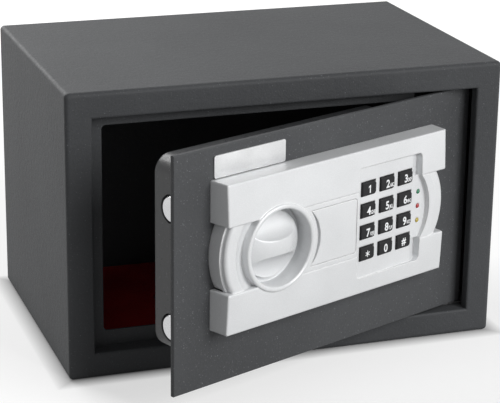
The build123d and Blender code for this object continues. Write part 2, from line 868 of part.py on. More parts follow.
with BuildPart() as knob:
    with BuildSketch(end_plane(knob_from_edge)):
        with BuildLine():
            Polyline(
                (knob_top_level, fascia_middle),
                (knob_base_level, fascia_middle),
                (knob_base_level, fascia_middle + knob_radius),
                (knob_rim_level, fascia_middle + knob_radius),
            )
            RadiusArc(
                (knob_rim_level, fascia_middle + knob_radius),
                (knob_top_level, fascia_middle),
                dome_radius,
            )
        make_face()
    revolve(axis=knob_axis)
    with BuildSketch(end_plane(knob_from_edge - 2 * knob_radius)):
        with Locations(
            (scoop_centre_level, fascia_middle + scoop_offset),
            (scoop_centre_level, fascia_middle - scoop_offset),
        ):
            Circle(scoop_radius)
    extrude(amount=-4 * knob_radius, mode=Mode.SUBTRACT)
    ridges = knob.faces().sort_by(outward)[-1].edges()
    fillet(ridges, grip_round)
    with BuildSketch(door_face.offset(knob_base_level)):
        with Locations(knob_place):
            Circle(spindle_radius + weld_gap)
    extrude(amount=spindle_in_knob, mode=Mode.SUBTRACT)
save(knob, "knob")

with BuildPart() as knob_spindle:
    with BuildSketch(door_face.offset(spindle_tail_level)):
        with Locations(knob_place):
            Circle(spindle_radius)
    extrude(amount=knob_base_level + spindle_in_knob - spindle_tail_level)
    chamfer(knob_spindle.edges().filter_by(GeomType.CIRCLE).sort_by(outward)[0], spindle_radius / 6)
save(knob_spindle, "knob_spindle")


def involute(angle):
    """Involute function of a pressure angle in radians."""
    return tan(angle) - angle


def flank_point(radius, tooth_middle, side):
    """Point on a pinion tooth's flank at a radius, on one side of the tooth's middle angle."""
    base_radius = pitch_radius * cos(radians(pressure_angle))
    half_at_pitch = (pi * rack_module / 2 - tooth_play) / (2 * pitch_radius)
    local_angle = acos(min(1.0, base_radius / max(radius, base_radius)))
    half = half_at_pitch + involute(radians(pressure_angle)) - involute(local_angle)
    turn = tooth_middle + side * half
    return (knob_from_edge + radius * cos(turn), fascia_middle + radius * sin(turn))


pinion_root = pitch_radius - 1.25 * rack_module
pinion_tip = pitch_radius + rack_module
with BuildPart() as bolt_pinion:
    with BuildSketch(door_face.offset(carriage_back_level)):
        with BuildLine():
            for tooth in range(pinion_teeth):
                middle_angle = -pi / 2 + (tooth + 0.5) * 2 * pi / pinion_teeth
                next_angle = middle_angle + 2 * pi / pinion_teeth
                rising = [flank_point(r, middle_angle, -1) for r in (pinion_root, pitch_radius, pinion_tip)]
                falling = [flank_point(r, middle_angle, 1) for r in (pinion_tip, pitch_radius, pinion_root)]
                ThreePointArc(*rising)
                Line(rising[-1], falling[0])
                ThreePointArc(*falling)
                Line(falling[-1], flank_point(pinion_root, next_angle, -1))
        make_face()
    extrude(amount=carriage_sheet)
    with BuildSketch(door_face.offset(carriage_back_level)):
        with Locations(knob_place):
            Circle(pinion_hub_radius)
    extrude(amount=-pinion_hub_length)
    with BuildSketch(door_face.offset(carriage_front_level)):
        with Locations(knob_place):
            Circle(spindle_radius + weld_gap)
    extrude(amount=-(carriage_sheet + pinion_hub_length), mode=Mode.SUBTRACT)
save(bolt_pinion, "bolt_pinion")

bridge_front_level = carriage_back_level - pinion_hub_length - spindle_bridge_gap
bridge_back_level = bridge_front_level - spindle_bridge_sheet
bridge_low = fascia_middle - spindle_bridge_below
bridge_high = fascia_middle + spindle_bridge_above
with BuildPart() as spindle_bridge:
    with BuildSketch(end_plane(knob_from_edge - spindle_bridge_half_width)):
        with BuildLine():
            Polyline(
                (-plate_thickness, bridge_high),
                (bridge_back_level, bridge_high),
                (bridge_back_level, bridge_low),
                (bridge_front_level, bridge_low),
                (bridge_front_level, bridge_high - spindle_bridge_sheet),
                (-plate_thickness, bridge_high - spindle_bridge_sheet),
                close=True,
            )
        make_face()
    extrude(amount=-2 * spindle_bridge_half_width)
    with BuildSketch(door_face):
        with Locations(knob_place):
            Circle(spindle_radius + spindle_clearance)
    extrude(amount=2 * spindle_tail_level, mode=Mode.SUBTRACT)
save(spindle_bridge, "spindle_bridge")

with BuildPart() as spindle_clip:
    with BuildSketch(door_face.offset(bridge_back_level - washer_gap)):
        with Locations(knob_place):
            Circle(clip_radius)
            Circle(spindle_radius + weld_gap, mode=Mode.SUBTRACT)
            with Locations((0, -clip_radius)):
                Rectangle(clip_mouth, 2 * clip_radius - spindle_radius, mode=Mode.SUBTRACT)
    extrude(amount=-clip_thickness)
save(spindle_clip, "spindle_clip")

# Bolt work: the carriage with its rack, the two bolts and their guide

web_to_edge = web_from_edge + carriage_web_width
rack_root = rack_pitch_line - 1.25 * rack_module
rack_tip = rack_pitch_line + rack_module
rack_bottom = rack_root - rack_bar_height
rack_pitch = pi * rack_module
rack_slope = tan(radians(pressure_angle))
tooth_half = rack_pitch / 4 - tooth_play / 2
tip_half = tooth_half - rack_module * rack_slope
root_half = tooth_half + 1.25 * rack_module * rack_slope
first_tooth = -3
last_tooth = int((rack_end_from_edge - knob_from_edge - root_half) / rack_pitch)
stud_up = rack_bottom + stud_head_radius
stud_places = [
    (web_to_edge + stud_inset, stud_up),
    (blocker_arm_end - stud_inset - bolt_travel, stud_up),
]

with BuildPart() as bolt_carriage:
    with BuildSketch(door_face.offset(carriage_front_level)):
        with Locations((web_from_edge + carriage_web_width / 2, bolt_middle)):
            Rectangle(carriage_web_width, bolt_spacing + 2 * carriage_end_margin)
        with BuildLine():
            rack_line = [(web_from_edge, rack_bottom), (web_from_edge, rack_root)]
            for tooth in range(first_tooth, last_tooth + 1):
                place = knob_from_edge + tooth * rack_pitch
                rack_line += [
                    (place - root_half, rack_root),
                    (place - tip_half, rack_tip),
                    (place + tip_half, rack_tip),
                    (place + root_half, rack_root),
                ]
            rack_line += [(blocker_arm_end, rack_root), (blocker_arm_end, rack_bottom)]
            Polyline(*rack_line, close=True)
        make_face()
        for stud_across, stud_height in stud_places:
            with Locations((stud_across + bolt_travel / 2, stud_height)):
                SlotOverall(
                    bolt_travel + 2 * (stud_radius + stud_clearance),
                    2 * (stud_radius + stud_clearance),
                    mode=Mode.SUBTRACT,
                )
    extrude(amount=-carriage_sheet)
    with BuildSketch(end_plane(web_from_edge)):
        with Locations((carriage_front_level - carriage_flange_depth / 2, bolt_middle)):
            Rectangle(carriage_flange_depth, bolt_spacing + 2 * carriage_end_margin)
        with Locations((-bolt_behind_front, lower_bolt), (-bolt_behind_front, upper_bolt)):
            Circle(bolt_spigot_radius + weld_gap, mode=Mode.SUBTRACT)
    extrude(amount=-carriage_sheet)
    with BuildSketch(end_plane(blocker_arm_end)):
        with Locations((carriage_front_level - blocker_shelf_depth / 2, rack_root - carriage_sheet / 2)):
            Rectangle(blocker_shelf_depth, carriage_sheet)
    extrude(amount=blocker_shelf_length)
save(bolt_carriage, "bolt_carriage")

with BuildPart() as locking_bolts:
    with BuildSketch(end_plane(casing_from_edge)):
        with Locations((-bolt_behind_front, lower_bolt), (-bolt_behind_front, upper_bolt)):
            Circle(bolt_radius)
    extrude(amount=-bolt_length)
    tip_edges = locking_bolts.edges().filter_by(GeomType.CIRCLE).group_by(across)[0]
    chamfer(tip_edges, bolt_chamfer)
    with BuildSketch(end_plane(web_from_edge)):
        with Locations((-bolt_behind_front, lower_bolt), (-bolt_behind_front, upper_bolt)):
            Circle(bolt_spigot_radius)
    extrude(amount=-(carriage_sheet + spigot_head_thickness))
    with BuildSketch(end_plane(web_from_edge + carriage_sheet)):
        with Locations((-bolt_behind_front, lower_bolt), (-bolt_behind_front, upper_bolt)):
            Circle(bolt_spigot_head)
    extrude(amount=-spigot_head_thickness)
save(locking_bolts, "locking_bolts")

with BuildPart() as bolt_guide:
    guide_reach = bolt_behind_front + bolt_radius + guide_margin - plate_thickness
    with BuildSketch(end_plane(guide_from_edge)):
        with Locations((-plate_thickness - guide_reach / 2, bolt_middle)):
            Rectangle(guide_reach, bolt_spacing + 2 * (bolt_radius + guide_margin))
        with Locations((-bolt_behind_front, lower_bolt), (-bolt_behind_front, upper_bolt)):
            Circle(bolt_radius + guide_clearance, mode=Mode.SUBTRACT)
    extrude(amount=-guide_sheet)
save(bolt_guide, "bolt_guide")

with BuildPart() as guide_studs:
    with BuildSketch(door_back):
        with Locations(*stud_places):
            Circle(stud_radius)
    extrude(amount=-(carriage_gap + carriage_sheet + stud_head_gap))
    with BuildSketch(door_face.offset(carriage_back_level - stud_head_gap)):
        with Locations(*stud_places):
            Circle(stud_head_radius)
    extrude(amount=-stud_head_thickness)
save(guide_studs, "guide_studs")

# Electric blocker: the plunger drops beside the carriage's shelf when the bolts are out

plunger_level = carriage_front_level - blocker_shelf_depth + plunger_radius + plunger_clearance
plunger_tip = rack_root + plunger_gap
solenoid_bottom = plunger_tip + solenoid_above_tip
plunger_plane = Plane(
    origin=door_point(blocker_from_edge, plunger_tip, plunger_level), x_dir=door_face.x_dir, z_dir=(0, 0, 1)
)
with BuildPart() as solenoid_frame:
    with BuildSketch(end_plane(blocker_from_edge - solenoid_width / 2)):
        with BuildLine():
            Polyline(
                (-plate_thickness, solenoid_bottom),
                (-plate_thickness - solenoid_depth, solenoid_bottom),
                (-plate_thickness - solenoid_depth, solenoid_bottom + solenoid_cheek),
                (-plate_thickness - solenoid_cheek, solenoid_bottom + solenoid_cheek),
                (-plate_thickness - solenoid_cheek, solenoid_bottom + solenoid_height - solenoid_cheek),
                (-plate_thickness - solenoid_depth, solenoid_bottom + solenoid_height - solenoid_cheek),
                (-plate_thickness - solenoid_depth, solenoid_bottom + solenoid_height),
                (-plate_thickness, solenoid_bottom + solenoid_height),
                close=True,
            )
        make_face()
    extrude(amount=-solenoid_width)
    with BuildSketch(plunger_plane):
        Circle(plunger_radius + plunger_clearance)
    extrude(amount=2 * plunger_length, mode=Mode.SUBTRACT)
save(solenoid_frame, "solenoid_frame")

with BuildPart() as solenoid_coil:
    with BuildSketch(plunger_plane.offset(solenoid_above_tip + solenoid_cheek)):
        Circle(coil_radius)
        Circle(plunger_radius + plunger_clearance, mode=Mode.SUBTRACT)
    extrude(amount=solenoid_height - 2 * solenoid_cheek)
save(solenoid_coil, "solenoid_coil")

with BuildPart() as solenoid_plunger:
    with BuildSketch(plunger_plane):
        Circle(plunger_radius)
    extrude(amount=plunger_length)
    chamfer(solenoid_plunger.edges().filter_by(GeomType.CIRCLE), plunger_radius / 5)
save(solenoid_plunger, "solenoid_plunger")

# Emergency lock under its cover

with BuildPart() as override_cover:
    with BuildSketch(door_face.offset(cover_seat_level + weld_gap)):
        cover_outline(cover_arc_rise + nail_crescent, cover_gap)
    extrude(amount=cover_thickness - weld_gap)
save(override_cover, "override_cover")

override_tube_end = override_tail_level + override_tube_short
with BuildPart() as override_lock:
    with BuildSketch(door_face.offset(override_tube_end)):
        with Locations(override_place):
            Circle(override_body_radius)
    extrude(amount=cover_seat_level - override_tube_end)
    with BuildSketch(door_face.offset(cover_seat_level)):
        with Locations(override_place):
            Circle(override_flange_radius)
    extrude(amount=-override_flange)
    with BuildSketch(door_face.offset(cover_seat_level)):
        with Locations(override_place):
            Circle(override_barrel_radius + override_clearance)
    extrude(amount=override_tube_end - cover_seat_level, mode=Mode.SUBTRACT)
save(override_lock, "override_lock")

with BuildPart() as override_nut:
    with BuildSketch(door_back):
        with Locations(override_place):
            RegularPolygon(nut_across_flats / 2, 6, major_radius=False, rotation=30)
            Circle(override_body_radius + weld_gap, mode=Mode.SUBTRACT)
    extrude(amount=-nut_thickness)
save(override_nut, "override_nut")

with BuildPart() as override_barrel:
    with BuildSketch(door_face.offset(override_tail_level)):
        with Locations(override_place):
            Circle(override_barrel_radius)
    extrude(amount=cover_seat_level - override_tail_level)
    with BuildSketch(door_face.offset(cover_seat_level)):
        with Locations(override_place):
            Rectangle(keyway_width, keyway_length)
    extrude(amount=-keyway_depth, mode=Mode.SUBTRACT)
    with BuildSketch(door_face.offset(override_tail_level)):
        with Locations((override_from_edge, fascia_middle + cam_length / 2 - cam_width / 4)):
            SlotOverall(cam_length + cam_width / 2, cam_width, rotation=90)
    extrude(amount=cam_thickness)
save(override_barrel, "override_barrel")

# Keypad: board, lamps and twelve keys

with BuildPart() as keypad_board:
    with BuildSketch(door_face.offset(board_level)):
        with Locations(((board_from_edge + board_to_edge) / 2, fascia_middle)):
            Rectangle(board_to_edge - board_from_edge, 2 * board_half_height)
        with Locations(*board_posts):
            Circle(board_hole_radius, mode=Mode.SUBTRACT)
    extrude(amount=board_thickness)
save(keypad_board, "keypad_board")

for lamp, place_up in (("led_green", led_pitch), ("led_red", 0), ("led_yellow", -led_pitch)):
    with BuildPart() as led:
        with BuildSketch(door_face.offset(board_top)):
            with Locations((led_from_edge, fascia_middle + place_up)):
                Circle(led_radius)
        extrude(amount=key_floor_at(led_from_edge) + led_rise - board_top)
        fillet(led.faces().sort_by(outward)[-1].edges(), led_radius * 0.7)
    save(led, lamp)


with BuildPart() as key_front_cut:
    front_end = keypad_to_edge
    with BuildSketch(plan_plane(fascia_middle - keypad_half_height)):
        with BuildLine():
            Polyline(
                (keypad_from_edge, -key_floor_at(keypad_from_edge) - key_rise),
                (front_end, -key_floor_at(front_end) - key_rise),
                (front_end, -2 * cup_level),
                (keypad_from_edge, -2 * cup_level),
                close=True,
            )
        make_face()
    extrude(amount=2 * keypad_half_height)


def rising(corner):
    """Order of a sketch's corners along its rising diagonal."""
    return corner.X + corner.Y


def falling(corner):
    """Order of a sketch's corners along its falling diagonal."""
    return corner.X - corner.Y


def make_key(name, column, row):
    """One key cap with its retaining flange, in a column and row counted from the top left."""
    place = (
        key_first_from_edge + column * key_pitch_across,
        keys_middle + ((key_rows - 1) / 2 - row) * key_pitch_up,
    )
    with BuildPart() as key:
        with BuildSketch(door_face.offset(key_flange_level)) as cap:
            with Locations(place):
                Rectangle(key_width, key_height)
            fillet(cap.vertices().sort_by(falling)[-1], key_low_corner)
            fillet(cap.vertices().sort_by(falling)[0], key_near_corner)
            chamfer(cap.vertices().sort_by(rising)[-1], key_corner_cut)
        extrude(amount=cup_level)
        add(key_front_cut.part, mode=Mode.SUBTRACT)
        front_edges = key.faces().sort_by(outward)[-1].edges()
        chamfer(front_edges, key_bevel)
        with BuildSketch(door_face.offset(key_flange_level)):
            with Locations(place):
                Rectangle(key_width + 2 * key_flange, key_height + 2 * key_flange)
        extrude(amount=key_flange_thickness)
    save(key, name)


key_names = ["1", "2", "3", "4", "5", "6", "7", "8", "9", "star", "0", "hash"]
for index, key_name in enumerate(key_names):
    make_key(f"key_{key_name}", index % key_columns, index // key_columns)

with BuildPart() as label_plate:
    with BuildSketch(door_face):
        with Locations((label_from_edge + label_width / 2, label_bottom + label_height / 2)):
            RectangleRounded(label_width, label_height, label_corner)
    extrude(amount=label_thickness)
save(label_plate, "label_plate")

# Casing behind the door, its screws, the power supply and the program button

tray_inner_width = cell_count * cell_pitch + cell_gap
tray_inner_height = cell_length + cell_cap_length + 2 * cell_gap
tray_depth = 2 * cell_radius + 2 * cell_gap
tray_middle_across = tray_from_edge + tray_wall + tray_inner_width / 2
tray_middle_up = door_bottom + tray_above_door_bottom + tray_wall + tray_inner_height / 2
tray_floor_level = casing_inner_level + tray_depth
button_place = (button_from_edge, door_bottom + button_above_door_bottom)

with BuildPart() as lock_casing:
    with BuildSketch(door_back):
        with Locations((casing_from_edge + casing_width / 2, casing_middle)):
            RectangleRounded(casing_width, casing_height, casing_corner)
    extrude(amount=-casing_depth)
    fillet(lock_casing.faces().sort_by(outward)[0].edges(), casing_edge_round)
    open_side = lock_casing.faces().sort_by(outward)[-1]
    offset(amount=-casing_sheet, openings=open_side)
    with BuildSketch(end_plane(casing_from_edge)):
        with Locations((-bolt_behind_front, lower_bolt), (-bolt_behind_front, upper_bolt)):
            Circle(bolt_radius + bolt_hole_gap)
    extrude(amount=-2 * casing_sheet, mode=Mode.SUBTRACT)
    with BuildSketch(door_face.offset(casing_back_level)):
        with Locations((tray_middle_across, tray_middle_up)):
            RectangleRounded(tray_inner_width, tray_inner_height, battery_lid_corner)
        with Locations(button_place):
            Circle(button_radius + button_gap)
        with Locations(*pillar_places):
            Circle(casing_screw_radius + weld_gap)
    extrude(amount=casing_sheet, mode=Mode.SUBTRACT)
save(lock_casing, "lock_casing")

with BuildPart() as casing_screws:
    with BuildSketch(door_face.offset(casing_back_level)):
        with Locations(*pillar_places):
            Circle(screw_head_radius)
    extrude(amount=-screw_head_height)
    fillet(casing_screws.edges().filter_by(GeomType.CIRCLE).group_by(outward)[0], screw_head_height / 3)
    with BuildSketch(door_face.offset(casing_back_level - screw_head_height / 2)):
        with Locations(*pillar_places):
            Circle(casing_screw_radius - weld_gap)
    extrude(amount=casing_screw_length)
save(casing_screws, "casing_screws")

with BuildPart() as fascia_screws:
    with BuildSketch(end_plane(boss_places[0][0])):
        for from_edge, height in boss_places[:1]:
            with BuildLine():
                Polyline(
                    (-plate_thickness, height),
                    (-plate_thickness, height + screw_sink_radius),
                    (
                        -plate_thickness + screw_sink_radius - fascia_screw_radius,
                        height + fascia_screw_radius,
                    ),
                    (fascia_screw_depth - fascia_screw_radius, height + fascia_screw_radius),
                    (fascia_screw_depth - fascia_screw_radius, height),
                    close=True,
                )
            make_face()
    first_boss = Axis(door_point(*boss_places[0], 0), door_face.z_dir)
    revolve(axis=first_boss)
    first_screw = fascia_screws.part
    for from_edge, height in boss_places[1:]:
        step = door_point(from_edge, height, 0) - door_point(*boss_places[0], 0)
        add(Pos(*step) * first_screw)
save(fascia_screws, "fascia_screws")

with BuildPart() as battery_tray:
    with BuildSketch(door_face.offset(casing_inner_level)):
        with Locations((tray_middle_across, tray_middle_up)):
            RectangleRounded(
                tray_inner_width + 2 * tray_wall, tray_inner_height + 2 * tray_wall, battery_lid_corner
            )
    extrude(amount=tray_depth + tray_wall)
    with BuildSketch(door_face.offset(casing_inner_level)):
        with Locations((tray_middle_across, tray_middle_up)):
            Rectangle(tray_inner_width, tray_inner_height)
    extrude(amount=tray_depth, mode=Mode.SUBTRACT)
save(battery_tray, "battery_tray")

with BuildPart() as batteries:
    cell_bottom = tray_middle_up - tray_inner_height / 2 + cell_gap
    cell_level = tray_floor_level - cell_gap / 2 - cell_radius
    for cell in range(cell_count):
        cell_across = tray_middle_across + (cell - (cell_count - 1) / 2) * cell_pitch
        with BuildSketch(Plane(origin=door_point(cell_across, cell_bottom, cell_level), z_dir=(0, 0, 1))):
            Circle(cell_radius)
        extrude(amount=cell_length)
        with BuildSketch(Plane(origin=door_point(cell_across, cell_bottom, cell_level), z_dir=(0, 0, 1))):
            Circle(cell_cap_radius)
        extrude(amount=cell_length + cell_cap_length)
save(batteries, "batteries")

with BuildPart() as battery_cover:
    with BuildSketch(door_face.offset(casing_inner_level)):
        with Locations((tray_middle_across, tray_middle_up)):
            RectangleRounded(
                tray_inner_width - 2 * battery_lid_gap,
                tray_inner_height - 2 * battery_lid_gap,
                battery_lid_corner,
            )
    extrude(amount=-battery_lid_thickness)
save(battery_cover, "battery_cover")

with BuildPart() as program_switch:
    with BuildSketch(door_face.offset(casing_inner_level)):
        with Locations(button_place):
            Rectangle(switch_size, switch_size)
    extrude(amount=switch_depth)
    with BuildSketch(door_face.offset(casing_inner_level)):
        with Locations(button_place):
            Circle(button_flange_radius + button_gap)
    extrude(amount=switch_cavity, mode=Mode.SUBTRACT)
save(program_switch, "program_switch")

with BuildPart() as program_button:
    with BuildSketch(door_face.offset(casing_inner_level + button_gap)):
        with Locations(button_place):
            Circle(button_flange_radius)
    extrude(amount=switch_cavity - button_travel - 2 * button_gap)
    with BuildSketch(door_face.offset(casing_inner_level + button_gap)):
        with Locations(button_place):
            Circle(button_radius)
    extrude(amount=-(button_gap + casing_sheet + button_rise))
    fillet(program_button.edges().filter_by(GeomType.CIRCLE).sort_by(outward)[0], button_radius / 4)
save(program_button, "program_button")
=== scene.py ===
"""Looks for a small furniture safe: the finish of every solid, the printed legends on the keys, the felt
mat, the crossed screws of the lock casing, and the stage that shows them."""

import json
import math

import bpy
import numpy as np
from mathutils import Matrix, Vector


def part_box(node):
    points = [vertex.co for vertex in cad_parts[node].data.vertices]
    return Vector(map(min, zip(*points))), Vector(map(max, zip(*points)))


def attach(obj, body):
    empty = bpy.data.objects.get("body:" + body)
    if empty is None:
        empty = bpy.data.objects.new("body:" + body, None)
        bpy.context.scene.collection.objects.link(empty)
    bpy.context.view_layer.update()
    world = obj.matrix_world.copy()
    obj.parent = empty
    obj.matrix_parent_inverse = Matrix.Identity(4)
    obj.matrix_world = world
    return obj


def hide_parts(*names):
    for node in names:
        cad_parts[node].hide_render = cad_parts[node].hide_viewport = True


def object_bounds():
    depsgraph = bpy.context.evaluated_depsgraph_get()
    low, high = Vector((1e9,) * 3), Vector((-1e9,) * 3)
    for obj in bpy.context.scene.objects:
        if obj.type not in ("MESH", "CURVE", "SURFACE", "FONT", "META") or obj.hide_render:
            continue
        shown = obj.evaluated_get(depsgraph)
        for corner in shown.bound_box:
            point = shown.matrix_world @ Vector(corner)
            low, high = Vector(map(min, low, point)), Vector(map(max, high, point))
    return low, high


bl_info = {
    "name": "Furniture Safe Looks",
    "version": (1, 0, 0),
    "blender": (4, 5, 0),
    "location": "View3D > Sidebar > Safe",
    "description": "Finishes, legends, felt mat and stage for a small furniture safe",
    "category": "Object",
}

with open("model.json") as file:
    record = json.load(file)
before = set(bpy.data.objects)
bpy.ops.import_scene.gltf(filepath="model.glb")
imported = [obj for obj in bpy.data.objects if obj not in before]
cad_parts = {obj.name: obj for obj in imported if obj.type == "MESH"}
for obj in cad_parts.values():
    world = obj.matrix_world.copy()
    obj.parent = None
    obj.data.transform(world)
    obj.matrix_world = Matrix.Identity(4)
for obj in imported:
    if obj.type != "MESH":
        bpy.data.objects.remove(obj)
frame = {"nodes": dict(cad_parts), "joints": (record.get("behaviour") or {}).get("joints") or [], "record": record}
nodes = frame["nodes"]
packed_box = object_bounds()

MM = 0.001
UP = np.array([0.0, 0.0, 1.0])
# The door is ajar: outward is against the knob's axis, and across runs along the door to its hinge edge.
knob_joint = next(joint for joint in frame["joints"] if joint["name"] == "knob_turn")
OUTWARD = -np.array(knob_joint["axis"])
ACROSS = np.cross(UP, OUTWARD)
DOOR_TURN = math.atan2(ACROSS[1], ACROSS[0])

# Print on the keys
STAR_HEIGHT = 4.6 * MM
DIGIT_WIDTH = 0.92
LETTER_ROOM = 3.9 * MM
LETTER_GAP = 0.25 * MM
PRINT_DROP = 0.3 * MM
PRINT_LIFT = 0.02 * MM
PRINT_HALF = 0.015 * MM
TEXT_DEPTH = 0.005
TEXT_BOLDNESS = 0.028

# Cross recess and head of a screw, as shares of the head's height and of its radius
HEAD_CROWN = 0.12
HEAD_RIM = 0.35
RECESS_DEPTH = 0.75
RECESS_REACH = 0.62
SLOT_HALF = 0.15
SLOT_WALL = 0.05
HEAD_RINGS = 28
RIM_RINGS = 8
TURN_STEPS = 144

# Lamps, camera and floor in the frame's metres
AIM = (0.0, -0.1, 0.1)
BACK_LAMP_PLACE = (-0.65, 1.45, 1.1)
BACK_LAMP_SIZE = 1.2
FRONT_LAMP_PLACE = (0.9, -1.5, 0.9)
FRONT_LAMP_SIZE = 1.0
CAMERA_PLACE = (-0.4239, -1.2380, 0.5192)
CAMERA_FORWARD = (0.3113, 0.8956, -0.3176)
CAMERA_RIGHT = (0.9458, -0.3244, 0.0125)
SENSOR_WIDTH = 36.0
FLOOR_DROP = 0.2 * MM
FLOOR_EDGE = (-4 * MM, 12 * MM)
FLOOR_FAR = (0.25, 1.5)
FAR_GLOW = 0.9

# The digit and the small letters of each key
LEGENDS = {
    "key_1": ("1", ""),
    "key_2": ("2", "ABC"),
    "key_3": ("3", "DEF"),
    "key_4": ("4", "GHI"),
    "key_5": ("5", "JKL"),
    "key_6": ("6", "MNO"),
    "key_7": ("7", "PQRS"),
    "key_8": ("8", "TUV"),
    "key_9": ("9", "WXYZ"),
    "key_star": ("*", ""),
    "key_0": ("0", ""),
    "key_hash": ("#", ""),
}


def colour_property(name, description, default):
    """A colour with the usual limits."""
    return bpy.props.FloatVectorProperty(
        name=name, description=description, subtype="COLOR", size=3, min=0.0, max=1.0, default=default
    )


def length_property(name, description, default):
    """A length in metres, shown in the scene's unit."""
    return bpy.props.FloatProperty(
        name=name, description=description, unit="LENGTH", min=0.0, default=default
    )


def number_property(name, description, default):
    """A plain number that isn't negative."""
    return bpy.props.FloatProperty(name=name, description=description, min=0.0, default=default)


class SafePaint(bpy.types.PropertyGroup):
    """Paint on the cabinet, the door and the lock casing."""

    cabinet: colour_property("Cabinet", "Colour of the cabinet's powder coat", (0.050, 0.052, 0.055))
    door: colour_property("Door", "Colour of the door's powder coat", (0.060, 0.062, 0.065))
    casing: colour_property("Lock casing", "Colour of the casing's smooth paint", (0.036, 0.037, 0.039))
    grain: length_property("Grain", "Width of one pimple of the powder coat", 0.0013)
    grain_depth: length_property("Grain depth", "Height of the pimples", 0.00018)


class SafePlastics(bpy.types.PropertyGroup):
    """Moulded pieces and the print on them."""

    fascia: colour_property("Fascia", "Silver of the fascia and its cover", (0.72, 0.73, 0.74))
    knob: colour_property("Knob", "Silver of the turning knob", (0.70, 0.71, 0.72))
    key: colour_property("Keys", "Black of the key caps", (0.011, 0.011, 0.012))
    legend: colour_property("Legends", "White of the printed legends", (0.86, 0.87, 0.88))
    digit_height: length_property("Digit height", "Height of a digit on a key", 0.0055)
    letter_height: length_property("Letter height", "Height of the small letters on a key", 0.0026)


class SafeMat(bpy.types.PropertyGroup):
    """Felt mat on the cabinet's floor."""

    felt: colour_property("Felt", "Red of the felt", (0.62, 0.003, 0.005))
    pitch: length_property("Pitch", "Spacing of the surface's points", 0.002)
    wave: length_property("Wave", "Height of the felt's gentle waves", 0.00025)
    wall: length_property("Thickness", "Thickness of the felt", 0.0021)
    hole_radius: length_property("Hole radius", "Radius of the two holes over the anchor holes", 0.011)


class SafeStage(bpy.types.PropertyGroup):
    """Floor, lamps and camera."""

    floor_size: length_property("Floor size", "Side of the square floor", 8.0)
    back_power: number_property("Back lamp", "Power of the large soft lamp behind and to the left", 28.0)
    front_power: number_property("Front lamp", "Power of the large soft lamp in front", 30.0)
    sky: number_property("Sky", "Strength of the even light all round", 0.21)
    floor_glow: number_property("Floor glow", "What the open floor adds for the camera, to read white", 0.62)
    focal_length: number_property("Focal length", "Lens in mm on a 36 mm frame", 135.5)


# Meshes and pieces


def surface_mesh(name, points, faces):
    """Mesh of an array of points and an array of faces with the same number of corners each."""
    mesh = bpy.data.meshes.new(name)
    mesh.vertices.add(len(points))
    mesh.vertices.foreach_set("co", np.asarray(points, np.float32).ravel())
    mesh.loops.add(faces.size)
    mesh.loops.foreach_set("vertex_index", np.asarray(faces, np.int32).ravel())
    mesh.polygons.add(len(faces))
    mesh.polygons.foreach_set("loop_start", np.arange(0, faces.size, faces.shape[1], dtype=np.int32))
    mesh.update(calc_edges=True)
    mesh.validate()
    return mesh


def add_piece(name, mesh, body, material, smooth=False):
    """Object of a mesh, riding on a body of the part, with its finish."""
    mesh.materials.append(material)
    mesh.polygons.foreach_set("use_smooth", np.full(len(mesh.polygons), smooth))
    piece = bpy.data.objects.new(name, mesh)
    bpy.context.scene.collection.objects.link(piece)
    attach(piece, body)
    return piece


def grid_faces(rows, columns, closed=False):
    """Quads between neighbouring points of a grid; closed joins the last column to the first."""
    across = columns if closed else columns - 1
    row, column = np.meshgrid(np.arange(rows - 1), np.arange(across), indexing="ij")
    after = (column + 1) % columns
    this_row, next_row = row * columns, (row + 1) * columns
    corners = [this_row + column, this_row + after, next_row + after, next_row + column]
    return np.stack(corners, axis=-1).reshape(-1, 4)


def used_points(points, faces):
    """The same surface with only the points that its faces use."""
    kept, renumbered = np.unique(faces, return_inverse=True)
    return points[kept], renumbered.reshape(faces.shape)


def closed_triangles(rows, columns):
    """Triangles of a grid that closes on itself and whose first and last rows are one point each."""
    index = np.arange(rows * columns).reshape(rows, columns)
    index[0], index[-1] = index[0, 0], index[-1, 0]
    quads = index.ravel()[grid_faces(rows, columns, True)]
    split = np.vstack([quads[:, [0, 1, 2]], quads[:, [0, 2, 3]]])
    real = (split != np.roll(split, 1, axis=1)).all(axis=1)
    return split[real]


def node_points(node):
    """Corners of a solid's mesh, one row each."""
    mesh = nodes[node].data
    points = np.zeros(len(mesh.vertices) * 3)
    mesh.vertices.foreach_get("co", points)
    return points.reshape(-1, 3)


# Shader groups


def add_node(tree, kind, settings=None, values=None):
    """Node of one kind, with its settings, and its inputs given as values or as sockets to link."""
    made = tree.nodes.new(kind)
    for key, value in (settings or {}).items():
        setattr(made, key, value)
    for key, value in (values or {}).items():
        if isinstance(value, bpy.types.NodeSocket):
            tree.links.new(value, made.inputs[key])
        else:
            made.inputs[key].default_value = value
    return made


def maths(tree, operation, first, second):
    """Output of one operation on two numbers."""
    return add_node(tree, "ShaderNodeMath", {"operation": operation}, {0: first, 1: second}).outputs[0]


def mix_colours(tree, factor, first, second, blend="MIX"):
    """Output of a colour mix; a factor of 0 gives the first colour."""
    settings = {"data_type": "RGBA", "blend_type": blend}
    return add_node(tree, "ShaderNodeMix", settings, {0: factor, 6: first, 7: second}).outputs[2]


def spread(tree, value, low, high, to_low=0.0, to_high=1.0):
    """A value's range low to high, mapped to another range and held inside it."""
    values = {"Value": value, "From Min": low, "From Max": high, "To Min": to_low, "To Max": to_high}
    return add_node(tree, "ShaderNodeMapRange", {"clamp": True}, values).outputs["Result"]


def noise(tree, place, scale, detail=2.0, roughness=0.5):
    """Value of a noise around 0.5 at a place."""
    values = {"Vector": place, "Scale": scale, "Detail": detail, "Roughness": roughness}
    return add_node(tree, "ShaderNodeTexNoise", {}, values).outputs["Fac"]


def plus(tree, first, second):
    """Output of a sum."""
    return maths(tree, "ADD", first, second)


def times(tree, first, second):
    """Output of a product."""
    return maths(tree, "MULTIPLY", first, second)


